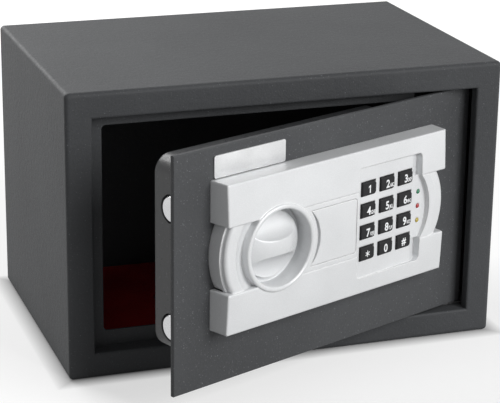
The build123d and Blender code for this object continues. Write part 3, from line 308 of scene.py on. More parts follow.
def tinted(tree, colour, tint):
    """Output of a colour with each of its parts multiplied by a tint's."""
    return mix_colours(tree, 1.0, colour, (*tint, 1), "MULTIPLY")


def shaded(tree, colour, shade):
    """Output of a colour made lighter or darker by a number around 1."""
    values = {"Red": shade, "Green": shade, "Blue": shade}
    grey = add_node(tree, "ShaderNodeCombineColor", {}, values).outputs[0]
    return mix_colours(tree, 1.0, colour, grey, "MULTIPLY")


def vector_maths(tree, operation, values):
    """Output of one sum on vectors."""
    return add_node(tree, "ShaderNodeVectorMath", {"operation": operation}, values).outputs[0]


def object_place(tree):
    """Place on a piece in its own metres, which are the frame's."""
    return add_node(tree, "ShaderNodeTexCoord").outputs["Object"]


def shader_group(name, inputs, outputs):
    """New node group with its named sockets, and its two end nodes."""
    tree = bpy.data.node_groups.new(name, "ShaderNodeTree")
    for label, kind, value in inputs:
        socket = tree.interface.new_socket(label, in_out="INPUT", socket_type="NodeSocket" + kind)
        socket.default_value = value
    for label, kind in outputs:
        tree.interface.new_socket(label, in_out="OUTPUT", socket_type="NodeSocket" + kind)
    return tree, tree.nodes.new("NodeGroupInput").outputs, tree.nodes.new("NodeGroupOutput").inputs


def shared_group(build):
    """Node group that a function builds, made once and kept under the function's name in plain words."""
    name = build.__name__.replace("_", " ").capitalize()
    return bpy.data.node_groups.get(name) or build(name)


def powder_grain(name):
    """Powder coat: orange-peel pimples of one grain size, small light specks and a slow unevenness."""
    tree, given, out = shader_group(
        name,
        [("Colour", "Color", (0.1, 0.1, 0.1, 1)), ("Grain Size", "Float", 0.001),
         ("Roughness", "Float", 0.5)],
        [("Colour", "Color"), ("Roughness", "Float"), ("Height", "Float")],
    )
    patches_per_metre = 9.0
    place = object_place(tree)
    per_metre = maths(tree, "DIVIDE", 1.0, given["Grain Size"])
    peel = noise(tree, place, per_metre, detail=3.0, roughness=0.6)
    broad = noise(tree, place, times(tree, per_metre, 0.32), detail=2.0, roughness=0.5)
    slow = noise(tree, place, patches_per_metre, detail=3.0, roughness=0.5)
    fine = noise(tree, place, times(tree, per_metre, 1.3), detail=1.0, roughness=0.4)
    speck = spread(tree, fine, 0.69, 0.76)
    uneven = spread(tree, plus(tree, times(tree, slow, 0.6), times(tree, peel, 0.4)), 0.32, 0.68)
    low = tinted(tree, given["Colour"], (0.74, 0.74, 0.745))
    high = tinted(tree, given["Colour"], (1.20, 1.20, 1.20))
    light = tinted(tree, given["Colour"], (2.8, 2.8, 2.82))
    coat = mix_colours(tree, uneven, low, high)
    tree.links.new(mix_colours(tree, times(tree, speck, 0.85), coat, light), out["Colour"])
    rough = plus(tree, given["Roughness"], spread(tree, peel, 0.3, 0.7, -0.07, 0.07))
    tree.links.new(rough, out["Roughness"])
    tree.links.new(plus(tree, peel, times(tree, broad, 1.4)), out["Height"])
    return tree


def moulded_skin(name):
    """Moulded plastic: a fine eroded grain with faint cloudiness, and flakes for a metallic colour."""
    tree, given, out = shader_group(
        name,
        [("Colour", "Color", (0.5, 0.5, 0.5, 1)), ("Grain Size", "Float", 0.0004), ("Flake", "Float", 0.04),
         ("Roughness", "Float", 0.4)],
        [("Colour", "Color"), ("Roughness", "Float"), ("Height", "Float")],
    )
    clouds_per_metre = 26.0
    place = object_place(tree)
    per_metre = maths(tree, "DIVIDE", 1.0, given["Grain Size"])
    grain = noise(tree, place, per_metre, detail=2.0, roughness=0.6)
    cloud = noise(tree, place, clouds_per_metre, detail=3.0, roughness=0.5)
    cells = {"Vector": place, "Scale": times(tree, per_metre, 0.8)}
    pits = add_node(tree, "ShaderNodeTexVoronoi", {"feature": "F1"}, cells).outputs["Distance"]
    flake = times(tree, spread(tree, pits, 0.05, 0.55, 1.0, -1.0), given["Flake"])
    shade = plus(tree, plus(tree, 1.0, flake), spread(tree, cloud, 0.35, 0.65, -0.025, 0.025))
    tree.links.new(shaded(tree, given["Colour"], shade), out["Colour"])
    rough = plus(tree, given["Roughness"], spread(tree, cloud, 0.3, 0.7, -0.05, 0.06))
    tree.links.new(plus(tree, rough, spread(tree, grain, 0.3, 0.7, -0.03, 0.03)), out["Roughness"])
    tree.links.new(plus(tree, grain, times(tree, pits, 0.6)), out["Height"])
    return tree


def drawn_metal(name):
    """Bare or plated metal: long scratches one way, stretched noise turned to the piece, and faint stains."""
    tree, given, out = shader_group(
        name,
        [("Colour", "Color", (0.5, 0.5, 0.5, 1)), ("Turn", "Vector", (0, 0, 0)),
         ("Strokes", "Vector", (40, 2500, 2500)), ("Roughness", "Float", 0.3), ("Contrast", "Float", 0.1)],
        [("Colour", "Color"), ("Roughness", "Float"), ("Height", "Float")],
    )
    stains_per_metre = 60.0
    place = object_place(tree)
    stretch = {"Vector": place, "Rotation": given["Turn"], "Scale": given["Strokes"]}
    turned = add_node(tree, "ShaderNodeMapping", {"vector_type": "POINT"}, stretch).outputs["Vector"]
    stroke = noise(tree, turned, 1.0, detail=3.0, roughness=0.6)
    stain = noise(tree, place, stains_per_metre, detail=3.0, roughness=0.55)
    swing = times(tree, spread(tree, stroke, 0.3, 0.7, -1.0, 1.0), given["Contrast"])
    shade = plus(tree, plus(tree, 1.0, swing), spread(tree, stain, 0.3, 0.7, -0.05, 0.05))
    tree.links.new(shaded(tree, given["Colour"], shade), out["Colour"])
    rough = plus(tree, given["Roughness"], spread(tree, stroke, 0.3, 0.7, -0.07, 0.07))
    tree.links.new(plus(tree, rough, spread(tree, stain, 0.35, 0.7, -0.03, 0.06)), out["Roughness"])
    tree.links.new(stroke, out["Height"])
    return tree


def felt_nap(name):
    """Felt: tangled fibres from two noises bent by a third, lighter tips and worn patches."""
    tree, given, out = shader_group(
        name,
        [("Colour", "Color", (0.3, 0.01, 0.01, 1)), ("Fibre Size", "Float", 0.0005)],
        [("Colour", "Color"), ("Roughness", "Float"), ("Height", "Float")],
    )
    patches_per_metre = 30.0
    bend_reach = 2 * MM
    place = object_place(tree)
    per_metre = maths(tree, "DIVIDE", 1.0, given["Fibre Size"])
    coarse = {"Vector": place, "Scale": times(tree, per_metre, 0.3), "Detail": 2.0}
    bend = add_node(tree, "ShaderNodeTexNoise", {}, coarse).outputs["Color"]
    small = vector_maths(tree, "SCALE", {0: bend, "Scale": bend_reach})
    bent = vector_maths(tree, "ADD", {0: place, 1: small})
    fibre = noise(tree, bent, per_metre, detail=4.0, roughness=0.7)
    patch = noise(tree, place, patches_per_metre, detail=3.0, roughness=0.5)
    dark = tinted(tree, given["Colour"], (0.62, 0.55, 0.55))
    tips = tinted(tree, given["Colour"], (1.35, 1.6, 1.6))
    tangle = mix_colours(tree, spread(tree, fibre, 0.36, 0.64), dark, tips)
    worn = tinted(tree, tangle, (0.86, 0.84, 0.84))
    tree.links.new(mix_colours(tree, spread(tree, patch, 0.4, 0.62), tangle, worn), out["Colour"])
    tree.links.new(spread(tree, fibre, 0.3, 0.7, 0.86, 0.98), out["Roughness"])
    tree.links.new(fibre, out["Height"])
    return tree


def painted_edge_highlight(name):
    """Mask for a painted highlight along the edges, 1 where a rounded normal leaves the true one by the most,
    broken up by noise; and that rounded normal."""
    tree, given, out = shader_group(
        name,
        [("Radius", "Float", 0.001), ("Amount", "Float", 0.5)],
        [("Mask", "Float"), ("Normal", "Vector")],
    )
    breaks_per_metre = 320.0
    bevel = add_node(tree, "ShaderNodeBevel", {"samples": 6}, {"Radius": given["Radius"]})
    rounded = bevel.outputs["Normal"]
    true_normal = add_node(tree, "ShaderNodeNewGeometry").outputs["Normal"]
    normals = {0: rounded, 1: true_normal}
    along = add_node(tree, "ShaderNodeVectorMath", {"operation": "DOT_PRODUCT"}, normals).outputs["Value"]
    edge = spread(tree, along, 0.99, 0.82)
    breaks = noise(tree, object_place(tree), breaks_per_metre, detail=3.0, roughness=0.6)
    broken = spread(tree, breaks, 0.3, 0.62, 0.35, 1.0)
    tree.links.new(times(tree, times(tree, edge, broken), given["Amount"]), out["Mask"])
    tree.links.new(rounded, out["Normal"])
    return tree


# Finishes


def four(colour):
    """Colour with its fourth number."""
    return (colour[0], colour[1], colour[2], 1.0)


def place_group(tree, build, values):
    """Outputs of a shared node group in a material, with its values."""
    return add_node(tree, "ShaderNodeGroup", {"node_tree": shared_group(build)}, values).outputs


def finish(name, build, values, bump, plain=None, edge=None):
    """Material whose colour, roughness and bump come from a group. bump is the height in metres, plain the
    values set on the shader's own sockets, and edge (radius, amount, colour) paints a light highlight along the
    edges."""
    material = bpy.data.materials.new(name)
    material.use_nodes = True
    tree = material.node_tree
    shader = tree.nodes["Principled BSDF"]
    for key, value in (plain or {}).items():
        shader.inputs[key].default_value = value
    made = place_group(tree, build, values)
    colour = made["Colour"]
    height = {"Strength": 1.0, "Distance": bump, "Height": made["Height"]}
    relief = add_node(tree, "ShaderNodeBump", {}, height)
    if edge:
        radius, amount, bare = edge
        edge_highlight = place_group(tree, painted_edge_highlight, {"Radius": radius, "Amount": amount})
        # Painted highlight: the colour turns toward the edge colour (bare) along the edges, standing in for light
        # caught there.
        colour = mix_colours(tree, edge_highlight["Mask"], colour, four(bare))
        tree.links.new(edge_highlight["Normal"], relief.inputs["Normal"])
    tree.links.new(colour, shader.inputs["Base Color"])
    tree.links.new(made["Roughness"], shader.inputs["Roughness"])
    tree.links.new(relief.outputs["Normal"], shader.inputs["Normal"])
    return material


def dress(material, *names):
    """Gives solids of the part a finish through their material slots."""
    for name in names:
        for entry in nodes[name].material_slots:
            entry.material = material


def powder_coat(name, colour, roughness=0.6):
    """Powder coat on sheet steel."""
    paint = bpy.context.scene.safe_paint
    values = {"Colour": four(colour), "Grain Size": paint.grain, "Roughness": roughness}
    # Painted highlight along the edges: the coat's own colour made lighter, 1.9 times plus 0.02.
    lighter, least = 1.9, 0.02
    edge_highlight = [min(1.0, part * lighter + least) for part in colour]
    edge = (1.2 * MM, 0.35, edge_highlight)
    return finish(name, powder_grain, values, paint.grain_depth, {"Specular IOR Level": 0.22}, edge)


def moulding(name, colour, grain, flake, roughness, bump, metallic=0.0, plain=None, edge=None):
    """Moulded plastic with the size of its grain, the strength of its flakes and the height of its bumps."""
    values = {"Colour": four(colour), "Grain Size": grain, "Flake": flake, "Roughness": roughness}
    return finish(name, moulded_skin, values, bump, {"Metallic": metallic, **(plain or {})}, edge)


def metal(name, colour, roughness, strokes, turn=0.0, contrast=0.1, bump=0.004 * MM):
    """Bare or plated metal. strokes are the scratches per metre along each axis, fewest along their own
    length, and turn is the angle about the upright by which they are turned."""
    values = {"Colour": four(colour), "Turn": (0.0, 0.0, -turn), "Strokes": strokes, "Roughness": roughness,
              "Contrast": contrast}
    return finish(name, drawn_metal, values, bump, {"Metallic": 1.0})


# Shapes


def anchor_holes():
    """Places of the two anchor holes in the cabinet's floor, half their spacing to each side of the mount."""
    mount = next(mount for mount in frame["record"]["mounts"] if mount["name"] == "base_holes")
    half = mount["dims"]["spacing_x_mm"] * MM / 2
    x, y = mount["pos_m"][:2]
    return ((x - half, y), (x + half, y))


def felt_top(low, high, holes, settings):
    """Top of the felt: a grid of points over the mat's rectangle, z = top - wave * (1 - s(x, y)) / 2 with
    s a sum of slow products of sines between -1 and 1. Quads whose middle lies in a hole are left out,
    and the points on the rim that this leaves are moved along their radius onto the hole's circle."""
    columns = int(round((high.x - low.x) / settings.pitch)) + 1
    rows = int(round((high.y - low.y) / settings.pitch)) + 1
    y, x = np.meshgrid(np.linspace(low.y, high.y, rows), np.linspace(low.x, high.x, columns), indexing="ij")
    crossing = np.sin(x * 47 + 0.6) * np.cos(y * 61 + 0.3)
    slanting = np.sin(x * 21 - y * 33)
    swell = 0.6 * crossing + 0.4 * slanting
    below_box = 0.05 * MM
    z = high.z - below_box - settings.wave * (1 - swell) / 2
    points = np.column_stack([x.ravel(), y.ravel(), z.ravel()])
    faces = grid_faces(rows, columns)
    middles = points[faces].mean(axis=1)
    for cx, cy in holes:
        inside = np.hypot(middles[:, 0] - cx, middles[:, 1] - cy) < settings.hole_radius
        rim = np.intersect1d(faces[inside], faces[~inside])
        dx, dy = points[rim, 0] - cx, points[rim, 1] - cy
        far = np.hypot(dx, dy)
        points[rim, 0] = cx + dx / far * settings.hole_radius
        points[rim, 1] = cy + dy / far * settings.hole_radius
        faces, middles = faces[~inside], middles[~inside]
    return used_points(points, faces)


def crossed_screw(radius, head, shank, shank_end):
    """Grid of one screw with a cross recess, as its two directions across the axis and its height above
    the seat. A profile of rings, radius r against height, is turned round the axis from the middle of
    the head over the rim and the seat to the shank's end, and its first and last ring are one point.
    The head is crowned, head - crown * (r / flat)^2, its rim falls as a quarter of a circle, and the
    rest is straight. The recess takes depth * sqrt(1 - (r / reach)^2) off the head where the nearer of
    its two slots, min(|a|, |b|), is under half a slot's width."""
    crown, rim, depth = HEAD_CROWN * head, HEAD_RIM * head, RECESS_DEPTH * head
    reach, slot_half, slot_wall = RECESS_REACH * radius, SLOT_HALF * radius, SLOT_WALL * radius
    flat = radius - rim
    top = np.linspace(0.0, flat, HEAD_RINGS)
    fall = np.linspace(0.0, np.pi / 2, RIM_RINGS)[1:]
    crowned = head - crown * (top / flat) ** 2
    rounded = head - crown - rim * (1 - np.cos(fall))
    ring = np.concatenate([top, flat + rim * np.sin(fall), [radius, shank, shank, 0.0]])
    level = np.concatenate([crowned, rounded, [0.0, 0.0, shank_end, shank_end]])
    turn = np.linspace(0.0, 2 * np.pi, TURN_STEPS, endpoint=False)
    r, angle = np.meshgrid(ring, turn, indexing="ij")
    a, b = r * np.cos(angle), r * np.sin(angle)
    slot = np.clip((slot_half - np.minimum(np.abs(a), np.abs(b))) / slot_wall + 0.5, 0.0, 1.0)
    bowl = depth * np.sqrt(np.clip(1 - (r / reach) ** 2, 0.0, 1.0))
    bowl[len(top):] = 0.0
    return a, b, level[:, None] - slot * bowl


def crossed_screws(screws, seat):
    """Crossed screws in the place of a node's four, which stand in the corners of a seat: a point (a, b,
    height) goes to middle + a * across + b * up, and by its height inward from the seat."""
    points = node_points(screws)
    across, up, inward = points @ ACROSS, points @ UP, -(points @ OUTWARD)
    seat_level = -(node_points(seat) @ OUTWARD).min()
    head, shank_end = inward.max() - seat_level, inward.min() - seat_level
    right = across > (across.min() + across.max()) / 2
    upper = up > (up.min() + up.max()) / 2
    made, triangles = [], []
    for group in (right & upper, right & ~upper, ~right & upper, ~right & ~upper):
        middle = [(side[group].min() + side[group].max()) / 2 for side in (across, up)]
        end = group & (inward < inward.min() + 0.1 * MM)
        shank = np.hypot(across[end] - middle[0], up[end] - middle[1]).max()
        a, b, height = crossed_screw(np.ptp(across[group]) / 2, head, shank, shank_end)
        place = ((middle[0] + a)[..., None] * ACROSS + (middle[1] + b)[..., None] * UP
                 - (seat_level + height)[..., None] * OUTWARD)
        triangles.append(closed_triangles(*a.shape) + len(made) * a.size)
        made.append(place.reshape(-1, 3))
    return used_points(np.vstack(made), np.vstack(triangles))


def front_face(node):
    """Middle, across and outward directions of a key's front: the area-weighted mean of its outermost flat
    triangles, with across = up x outward."""
    mesh = nodes[node].data
    count = len(mesh.polygons)
    normals, centres, areas = np.zeros(count * 3), np.zeros(count * 3), np.zeros(count)
    mesh.polygons.foreach_get("normal", normals)
    mesh.polygons.foreach_get("center", centres)
    mesh.polygons.foreach_get("area", areas)
    normals, centres = normals.reshape(-1, 3), centres.reshape(-1, 3)
    facing, rounding = 0.99, 0.9 * MM
    flat = normals @ OUTWARD > facing
    level = centres @ OUTWARD
    flat &= level > level[flat].max() - rounding
    weight = areas[flat, None]
    middle = (centres[flat] * weight).sum(axis=0) / weight.sum()
    outward = (normals[flat] * weight).sum(axis=0)
    outward /= np.linalg.norm(outward)
    across = np.cross(UP, outward)
    return middle, across / np.linalg.norm(across), outward


def drawn_text(words):
    """Outline of a word at size 1, baseline at y = 0, as points and triangles; z is its thickness of
    TEXT_DEPTH to each side."""
    curve = bpy.data.curves.new("legend", "FONT")
    curve.body = words
    curve.size = 1.0
    curve.offset = TEXT_BOLDNESS
    curve.extrude = TEXT_DEPTH
    curve.resolution_u = 6
    carrier = bpy.data.objects.new("legend", curve)
    bpy.context.scene.collection.objects.link(carrier)
    mesh = bpy.data.meshes.new_from_object(carrier.evaluated_get(bpy.context.evaluated_depsgraph_get()))
    points = np.zeros(len(mesh.vertices) * 3)
    mesh.vertices.foreach_get("co", points)
    mesh.calc_loop_triangles()
    triangles = np.zeros(len(mesh.loop_triangles) * 3, np.int32)
    mesh.loop_triangles.foreach_get("vertices", triangles)
    bpy.data.objects.remove(carrier)
    bpy.data.curves.remove(curve)
    bpy.data.meshes.remove(mesh)
    return points.reshape(-1, 3), triangles.reshape(-1, 3)


def drawn_star():
    """Six-armed star of height 1 in drawn_text's form: three crossed bars, the first upright and the
    others at 60 degrees to it, each a little higher than the one before."""
    half, thin = 0.5, 0.075
    bar = np.array([(-half, -thin), (half, -thin), (half, thin), (-half, thin)])
    angles = np.radians([90.0, 30.0, 150.0])
    turns = np.array([[np.cos(angles), np.sin(angles)], [-np.sin(angles), np.cos(angles)]]).transpose(2, 0, 1)
    flat = (bar @ turns).reshape(-1, 2)
    steps = np.repeat(np.arange(3), 4)[:, None]
    points = np.hstack([flat, TEXT_DEPTH * (1 + 0.2 * steps)])
    triangles = (np.array([(0, 1, 2), (0, 2, 3)]) + 4 * np.arange(3)[:, None, None]).reshape(-1, 3)
    return points, triangles


def drawn_one():
    """Digit 1 of height 1 in drawn_text's form: an upright bar with a flag that slopes down to its left."""
    bar = [(-0.09, 0.0), (0.09, 0.0), (0.09, 1.0)]
    flag = [(-0.05, 1.0), (-0.30, 0.80), (-0.30, 0.64), (-0.09, 0.76)]
    flat = np.array(bar + flag)
    points = np.hstack([flat, np.full((len(flat), 1), TEXT_DEPTH)])
    return points, np.array([(0, 1, 2), (0, 2, 6), (6, 2, 3), (6, 3, 4), (6, 4, 5)])


def drawn_digit(digit, cap_height, plastics):
    """Digit or sign at its real size, in drawn_text's form, its middle at x = 0. The star, the hash and
    the one take their size from their own height, and stand at half a digit's height."""
    own_shapes = {"*": drawn_star, "1": drawn_one}
    points, triangles = own_shapes[digit]() if digit in own_shapes else drawn_text(digit)
    size = plastics.digit_height / cap_height
    if digit in "*#1":
        size = (STAR_HEIGHT if digit == "*" else plastics.digit_height) / np.ptp(points[:, 1])
        points[:, 1] -= (points[:, 1].max() + points[:, 1].min()) / 2 - plastics.digit_height / 2 / size
    points[:, 0] -= (points[:, 0].max() + points[:, 0].min()) / 2
    points[:, :2] *= size * np.array([DIGIT_WIDTH, 1.0])
    return points, triangles


def drawn_letters(letters, cap_height, start, plastics):
    """Small letters at their real size, in drawn_text's form, from x = start on, squeezed to a key's room."""
    points, triangles = drawn_text(letters)
    size = plastics.letter_height / cap_height
    squeeze = min(1.0, LETTER_ROOM / (np.ptp(points[:, 0]) * size))
    points[:, 0] = (points[:, 0] - points[:, 0].min()) * size * squeeze + start
    points[:, 1] *= size
    return points, triangles


def add_legend(node, digit, letters, cap_height, ink, plastics):
    """Print on one key: a point (x, y) of the drawn text goes to middle + x * across + (y + foot) *
    upward, and PRINT_LIFT proud of the key, with PRINT_HALF more at the text's front and less at its
    back."""
    points, triangles = drawn_digit(digit, cap_height, plastics)
    if letters:
        small, more = drawn_letters(letters, cap_height, points[:, 0].max() + LETTER_GAP, plastics)
        triangles = np.vstack([triangles, more + len(points)])
        points = np.vstack([points, small])
    middle, across, outward = front_face(node)
    upward = np.cross(outward, across)
    foot = -plastics.digit_height / 2 - PRINT_DROP
    lift = PRINT_LIFT + PRINT_HALF * points[:, 2:] / TEXT_DEPTH
    world = middle + points[:, :1] * across + (points[:, 1:2] + foot) * upward + lift * outward
    name = node.replace("key_", "legend_")
    add_piece(name, surface_mesh(name, world, triangles), node, ink)


# Stage


def seen_directly(tree):
    """1 for the camera's rays and for what they mirror or pass, and 0 for the light that falls on things."""
    path = add_node(tree, "ShaderNodeLightPath").outputs
    mirrored = maths(tree, "MAXIMUM", path["Is Glossy Ray"], path["Is Transmission Ray"])
    return maths(tree, "MAXIMUM", path["Is Camera Ray"], mirrored)


def floor_finish(glow):
    """Pale floor that takes a shadow, and reads white to the camera outside the cabinet's footprint and
    still whiter far from it."""
    material = bpy.data.materials.new("Pale floor")
    material.use_nodes = True
    tree = material.node_tree
    shader = tree.nodes["Principled BSDF"]
    shader.inputs["Base Color"].default_value = (0.40, 0.40, 0.40, 1.0)
    shader.inputs["Roughness"].default_value = 0.9
    shader.inputs["Specular IOR Level"].default_value = 0.1
    shader.inputs["Emission Color"].default_value = (1.0, 1.0, 1.0, 1.0)
    corner = (packed_box[1][0], packed_box[1][1], 0.0)
    from_middle = vector_maths(tree, "ABSOLUTE", {0: object_place(tree)})
    beyond = vector_maths(tree, "SUBTRACT", {0: from_middle, 1: corner})
    gap = add_node(tree, "ShaderNodeSeparateXYZ", {}, {"Vector": beyond}).outputs
    reach = maths(tree, "MAXIMUM", gap["X"], gap["Y"])
    # The glow is left off under the cabinet and fades in from 4 mm inside its edge to 12 mm outside, which paints
    # shade on the floor at the cabinet's foot on top of its real shadow.
    open_floor = spread(tree, reach, *FLOOR_EDGE, 0.0, glow)
    far_floor = plus(tree, open_floor, spread(tree, reach, *FLOOR_FAR, 0.0, FAR_GLOW - glow))
    tree.links.new(times(tree, seen_directly(tree), far_floor), shader.inputs["Emission Strength"])
    return material


def even_sky(strength):
    """World of an even pale light, white at strength 1 to the camera and in reflections."""
    world = bpy.data.worlds.new("even_sky")
    world.use_nodes = True
    tree = world.node_tree
    background = tree.nodes["Background"]
    background.inputs["Color"].default_value = (1.0, 1.0, 1.0, 1.0)
    tree.links.new(spread(tree, seen_directly(tree), 0.0, 1.0, strength, 1.0), background.inputs["Strength"])
    return world


def add_lamp(name, place, power, size):
    """Square soft lamp aimed at the middle of the safe's front."""
    light = bpy.data.lights.new(name, "AREA")
    light.energy = power
    light.size = size
    lamp = bpy.data.objects.new(name, light)
    bpy.context.scene.collection.objects.link(lamp)
    lamp.location = place
    lamp.rotation_euler = (Vector(AIM) - Vector(place)).to_track_quat("-Z", "Y").to_euler()


def add_camera(focal_length):
    """Camera from its place, its forward and its right direction; up = right x forward."""
    data = bpy.data.cameras.new("camera")
    camera = bpy.data.objects.new("camera", data)
    bpy.context.scene.collection.objects.link(camera)
    place = Vector(CAMERA_PLACE)
    forward = Vector(CAMERA_FORWARD).normalized()
    right = Vector(CAMERA_RIGHT)
    right = (right - forward * right.dot(forward)).normalized()
    up = right.cross(forward)
    camera.matrix_world = Matrix((
        (right.x, up.x, -forward.x, place.x),
        (right.y, up.y, -forward.y, place.y),
        (right.z, up.z, -forward.z, place.z),
        (0.0, 0.0, 0.0, 1.0),
    ))
    data.sensor_width = SENSOR_WIDTH
    data.lens = focal_length
    data.clip_start = 0.01
    return camera


# Operators


class SafeOperator:
    """What the operators share."""

    bl_options = {"REGISTER", "UNDO"}


class SAFE_OT_cabinet(SafeOperator, bpy.types.Operator):
    """Powder coat on the cabinet's sheets, plain steel on its hinges, and brass"""

    bl_idname = "safe.cabinet"
    bl_label = "Cabinet"

    def execute(self, context):
        coat = powder_coat("Cabinet powder coat", context.scene.safe_paint.cabinet)
        dress(coat, "body_shell", "back_panel", "door_stop_frame")
        steel = metal("Plain hinge steel", (0.30, 0.30, 0.31), roughness=0.42, strokes=(700, 700, 60))
        dress(steel, "upper_hinge_bracket", "lower_hinge_bracket", "hinge_pins")
        brass = metal("Washer brass", (0.62, 0.44, 0.16), roughness=0.34, strokes=(900, 900, 90))
        dress(brass, "hinge_washers", "override_barrel")
        return {"FINISHED"}


class SAFE_OT_door(SafeOperator, bpy.types.Operator):
    """Powder coat on the door plate and its hinge channel, smooth paint on the lock casing"""

    bl_idname = "safe.door"
    bl_label = "Door and casing"

    def execute(self, context):
        paint = context.scene.safe_paint
        coat = powder_coat("Door powder coat", paint.door, roughness=0.56)
        dress(coat, "door_plate", "hinge_channel")
        values = {"Colour": four(paint.casing), "Grain Size": paint.grain * 1.6, "Roughness": 0.34}
        # Painted highlight, pale grey, along the casing's edges.
        edge = (1 * MM, 0.3, (0.22, 0.22, 0.225))
        plain = {"Specular IOR Level": 0.5}
        casing = finish("Casing paint", powder_grain, values, paint.grain_depth * 0.35, plain, edge)
        dress(casing, "lock_casing")
        return {"FINISHED"}


class SAFE_OT_fascia(SafeOperator, bpy.types.Operator):
    """Silver moulding of the fascia, its cover and the knob, and the bare plate above them"""

    bl_idname = "safe.fascia"
    bl_label = "Fascia, knob and plate"

    def execute(self, context):
        plastics = context.scene.safe_plastics
        # Painted highlight, near white, along the edges of the fascia, its cover and the knob.
        edge = (1.2 * MM, 0.9, (0.97, 0.97, 0.97))
        silver = moulding("Silver moulding", plastics.fascia, grain=0.45 * MM, flake=0.05, roughness=0.34,
                          bump=0.012 * MM, metallic=0.12, edge=edge)
        dress(silver, "fascia", "override_cover")
        knob = moulding("Knob moulding", plastics.knob, grain=0.4 * MM, flake=0.04, roughness=0.33,
                        bump=0.01 * MM, metallic=0.12, edge=edge)
        dress(knob, "knob")
        satin = metal("Satin plate", (0.66, 0.665, 0.67), roughness=0.38, strokes=(45, 2600, 2600),
                      turn=DOOR_TURN, contrast=0.07, bump=0.003 * MM)
        dress(satin, "label_plate")
        return {"FINISHED"}


class SAFE_OT_keys(SafeOperator, bpy.types.Operator):
    """Black key caps with their printed legends, and the board under them"""

    bl_idname = "safe.keys"
    bl_label = "Keys and legends"

    def execute(self, context):
        plastics = context.scene.safe_plastics
        plain = {"Specular IOR Level": 0.21}
        # Painted highlight, dark grey, along the edges of the black key caps.
        edge = (0.5 * MM, 0.8, (0.075, 0.075, 0.077))
        cap = moulding("Key moulding", plastics.key, grain=0.3 * MM, flake=0.12, roughness=0.46,
                       bump=0.01 * MM, plain=plain, edge=edge)
        dress(cap, *LEGENDS)
        ink = moulding("White print", plastics.legend, grain=0.2 * MM, flake=0.05, roughness=0.5,
                       bump=0.004 * MM)
        cap_height = drawn_text("H")[0][:, 1].max()
        for node, (digit, letters) in LEGENDS.items():
            add_legend(node, digit, letters, cap_height, ink, plastics)
        lacquer = moulding("Board lacquer", (0.012, 0.075, 0.03), grain=0.8 * MM, flake=0.2, roughness=0.28,
                           bump=0.02 * MM)
        dress(lacquer, "keypad_board")
        return {"FINISHED"}


class SAFE_OT_lamps(SafeOperator, bpy.types.Operator):
    """Green, red and yellow lenses of the three lamps"""

    bl_idname = "safe.lamps"
    bl_label = "Lamps"

    def execute(self, context):
        lenses = {
            "led_green": (0.006, 0.19, 0.085),
            "led_red": (0.38, 0.006, 0.009),
            "led_yellow": (0.46, 0.36, 0.05),
        }
        plain = {"Coat Weight": 0.6, "Coat Roughness": 0.08, "Subsurface Weight": 0.12,
                 "Subsurface Radius": (0.002, 0.002, 0.002), "Subsurface Scale": 0.5}
        for node, colour in lenses.items():
            name = node.replace("_", " ") + " lens"
            lens = moulding(name, colour, grain=0.6 * MM, flake=0.12, roughness=0.22, bump=0.006 * MM,
                            plain=plain)
            dress(lens, node)
        return {"FINISHED"}


class SAFE_OT_hardware(SafeOperator, bpy.types.Operator):
    """Bolts, spindle, rack, screws and the other metal pieces of the lock"""

    bl_idname = "safe.hardware"
    bl_label = "Bolts and hardware"

    def execute(self, context):
        bright = metal("Bright plated steel", (0.60, 0.60, 0.61), roughness=0.20, strokes=(60, 1800, 1800),
                       turn=DOOR_TURN, contrast=0.06, bump=0.003 * MM)
        dress(bright, "locking_bolts", "override_lock", "solenoid_plunger")
        zinc = metal("Zinc plated steel", (0.55, 0.555, 0.57), roughness=0.36, strokes=(90, 1200, 1200),
                     turn=DOOR_TURN, contrast=0.12)
        dress(zinc, "fascia_screws", "casing_screws", "bolt_guide", "guide_studs", "bolt_carriage")
        dress(zinc, "knob_spindle", "bolt_pinion", "spindle_bridge", "spindle_clip", "override_nut")
        dress(zinc, "solenoid_frame")
        mesh = surface_mesh("crossed_screws", *crossed_screws("casing_screws", "lock_casing"))
        screws = add_piece("crossed_screws", mesh, "door", zinc, True)
        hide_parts("casing_screws")
        return {"FINISHED"}


class SAFE_OT_power(SafeOperator, bpy.types.Operator):
    """Coil, batteries, their tray and cover, and the program switch with its red button"""

    bl_idname = "safe.power"
    bl_label = "Power supply and switch"

    def execute(self, context):
        wire = metal("Lacquered wire", (0.60, 0.22, 0.07), roughness=0.30, strokes=(3000, 3000, 3000),
                     contrast=0.2)
        dress(wire, "solenoid_coil")
        sleeve = moulding("Battery sleeve", (0.022, 0.022, 0.024), grain=0.7 * MM, flake=0.1, roughness=0.25,
                          bump=0.005 * MM)
        dress(sleeve, "batteries")
        # Painted highlight, dark grey, along the edges of the black mouldings.
        edge = (0.8 * MM, 0.4, (0.06, 0.06, 0.062))
        black = moulding("Black moulding", (0.016, 0.016, 0.017), grain=0.5 * MM, flake=0.12, roughness=0.48,
                         bump=0.02 * MM, edge=edge)
        dress(black, "battery_tray", "battery_cover", "program_switch")
        red = moulding("Red button", (0.52, 0.012, 0.014), grain=0.5 * MM, flake=0.06, roughness=0.3,
                       bump=0.01 * MM)
        dress(red, "program_button")
        return {"FINISHED"}


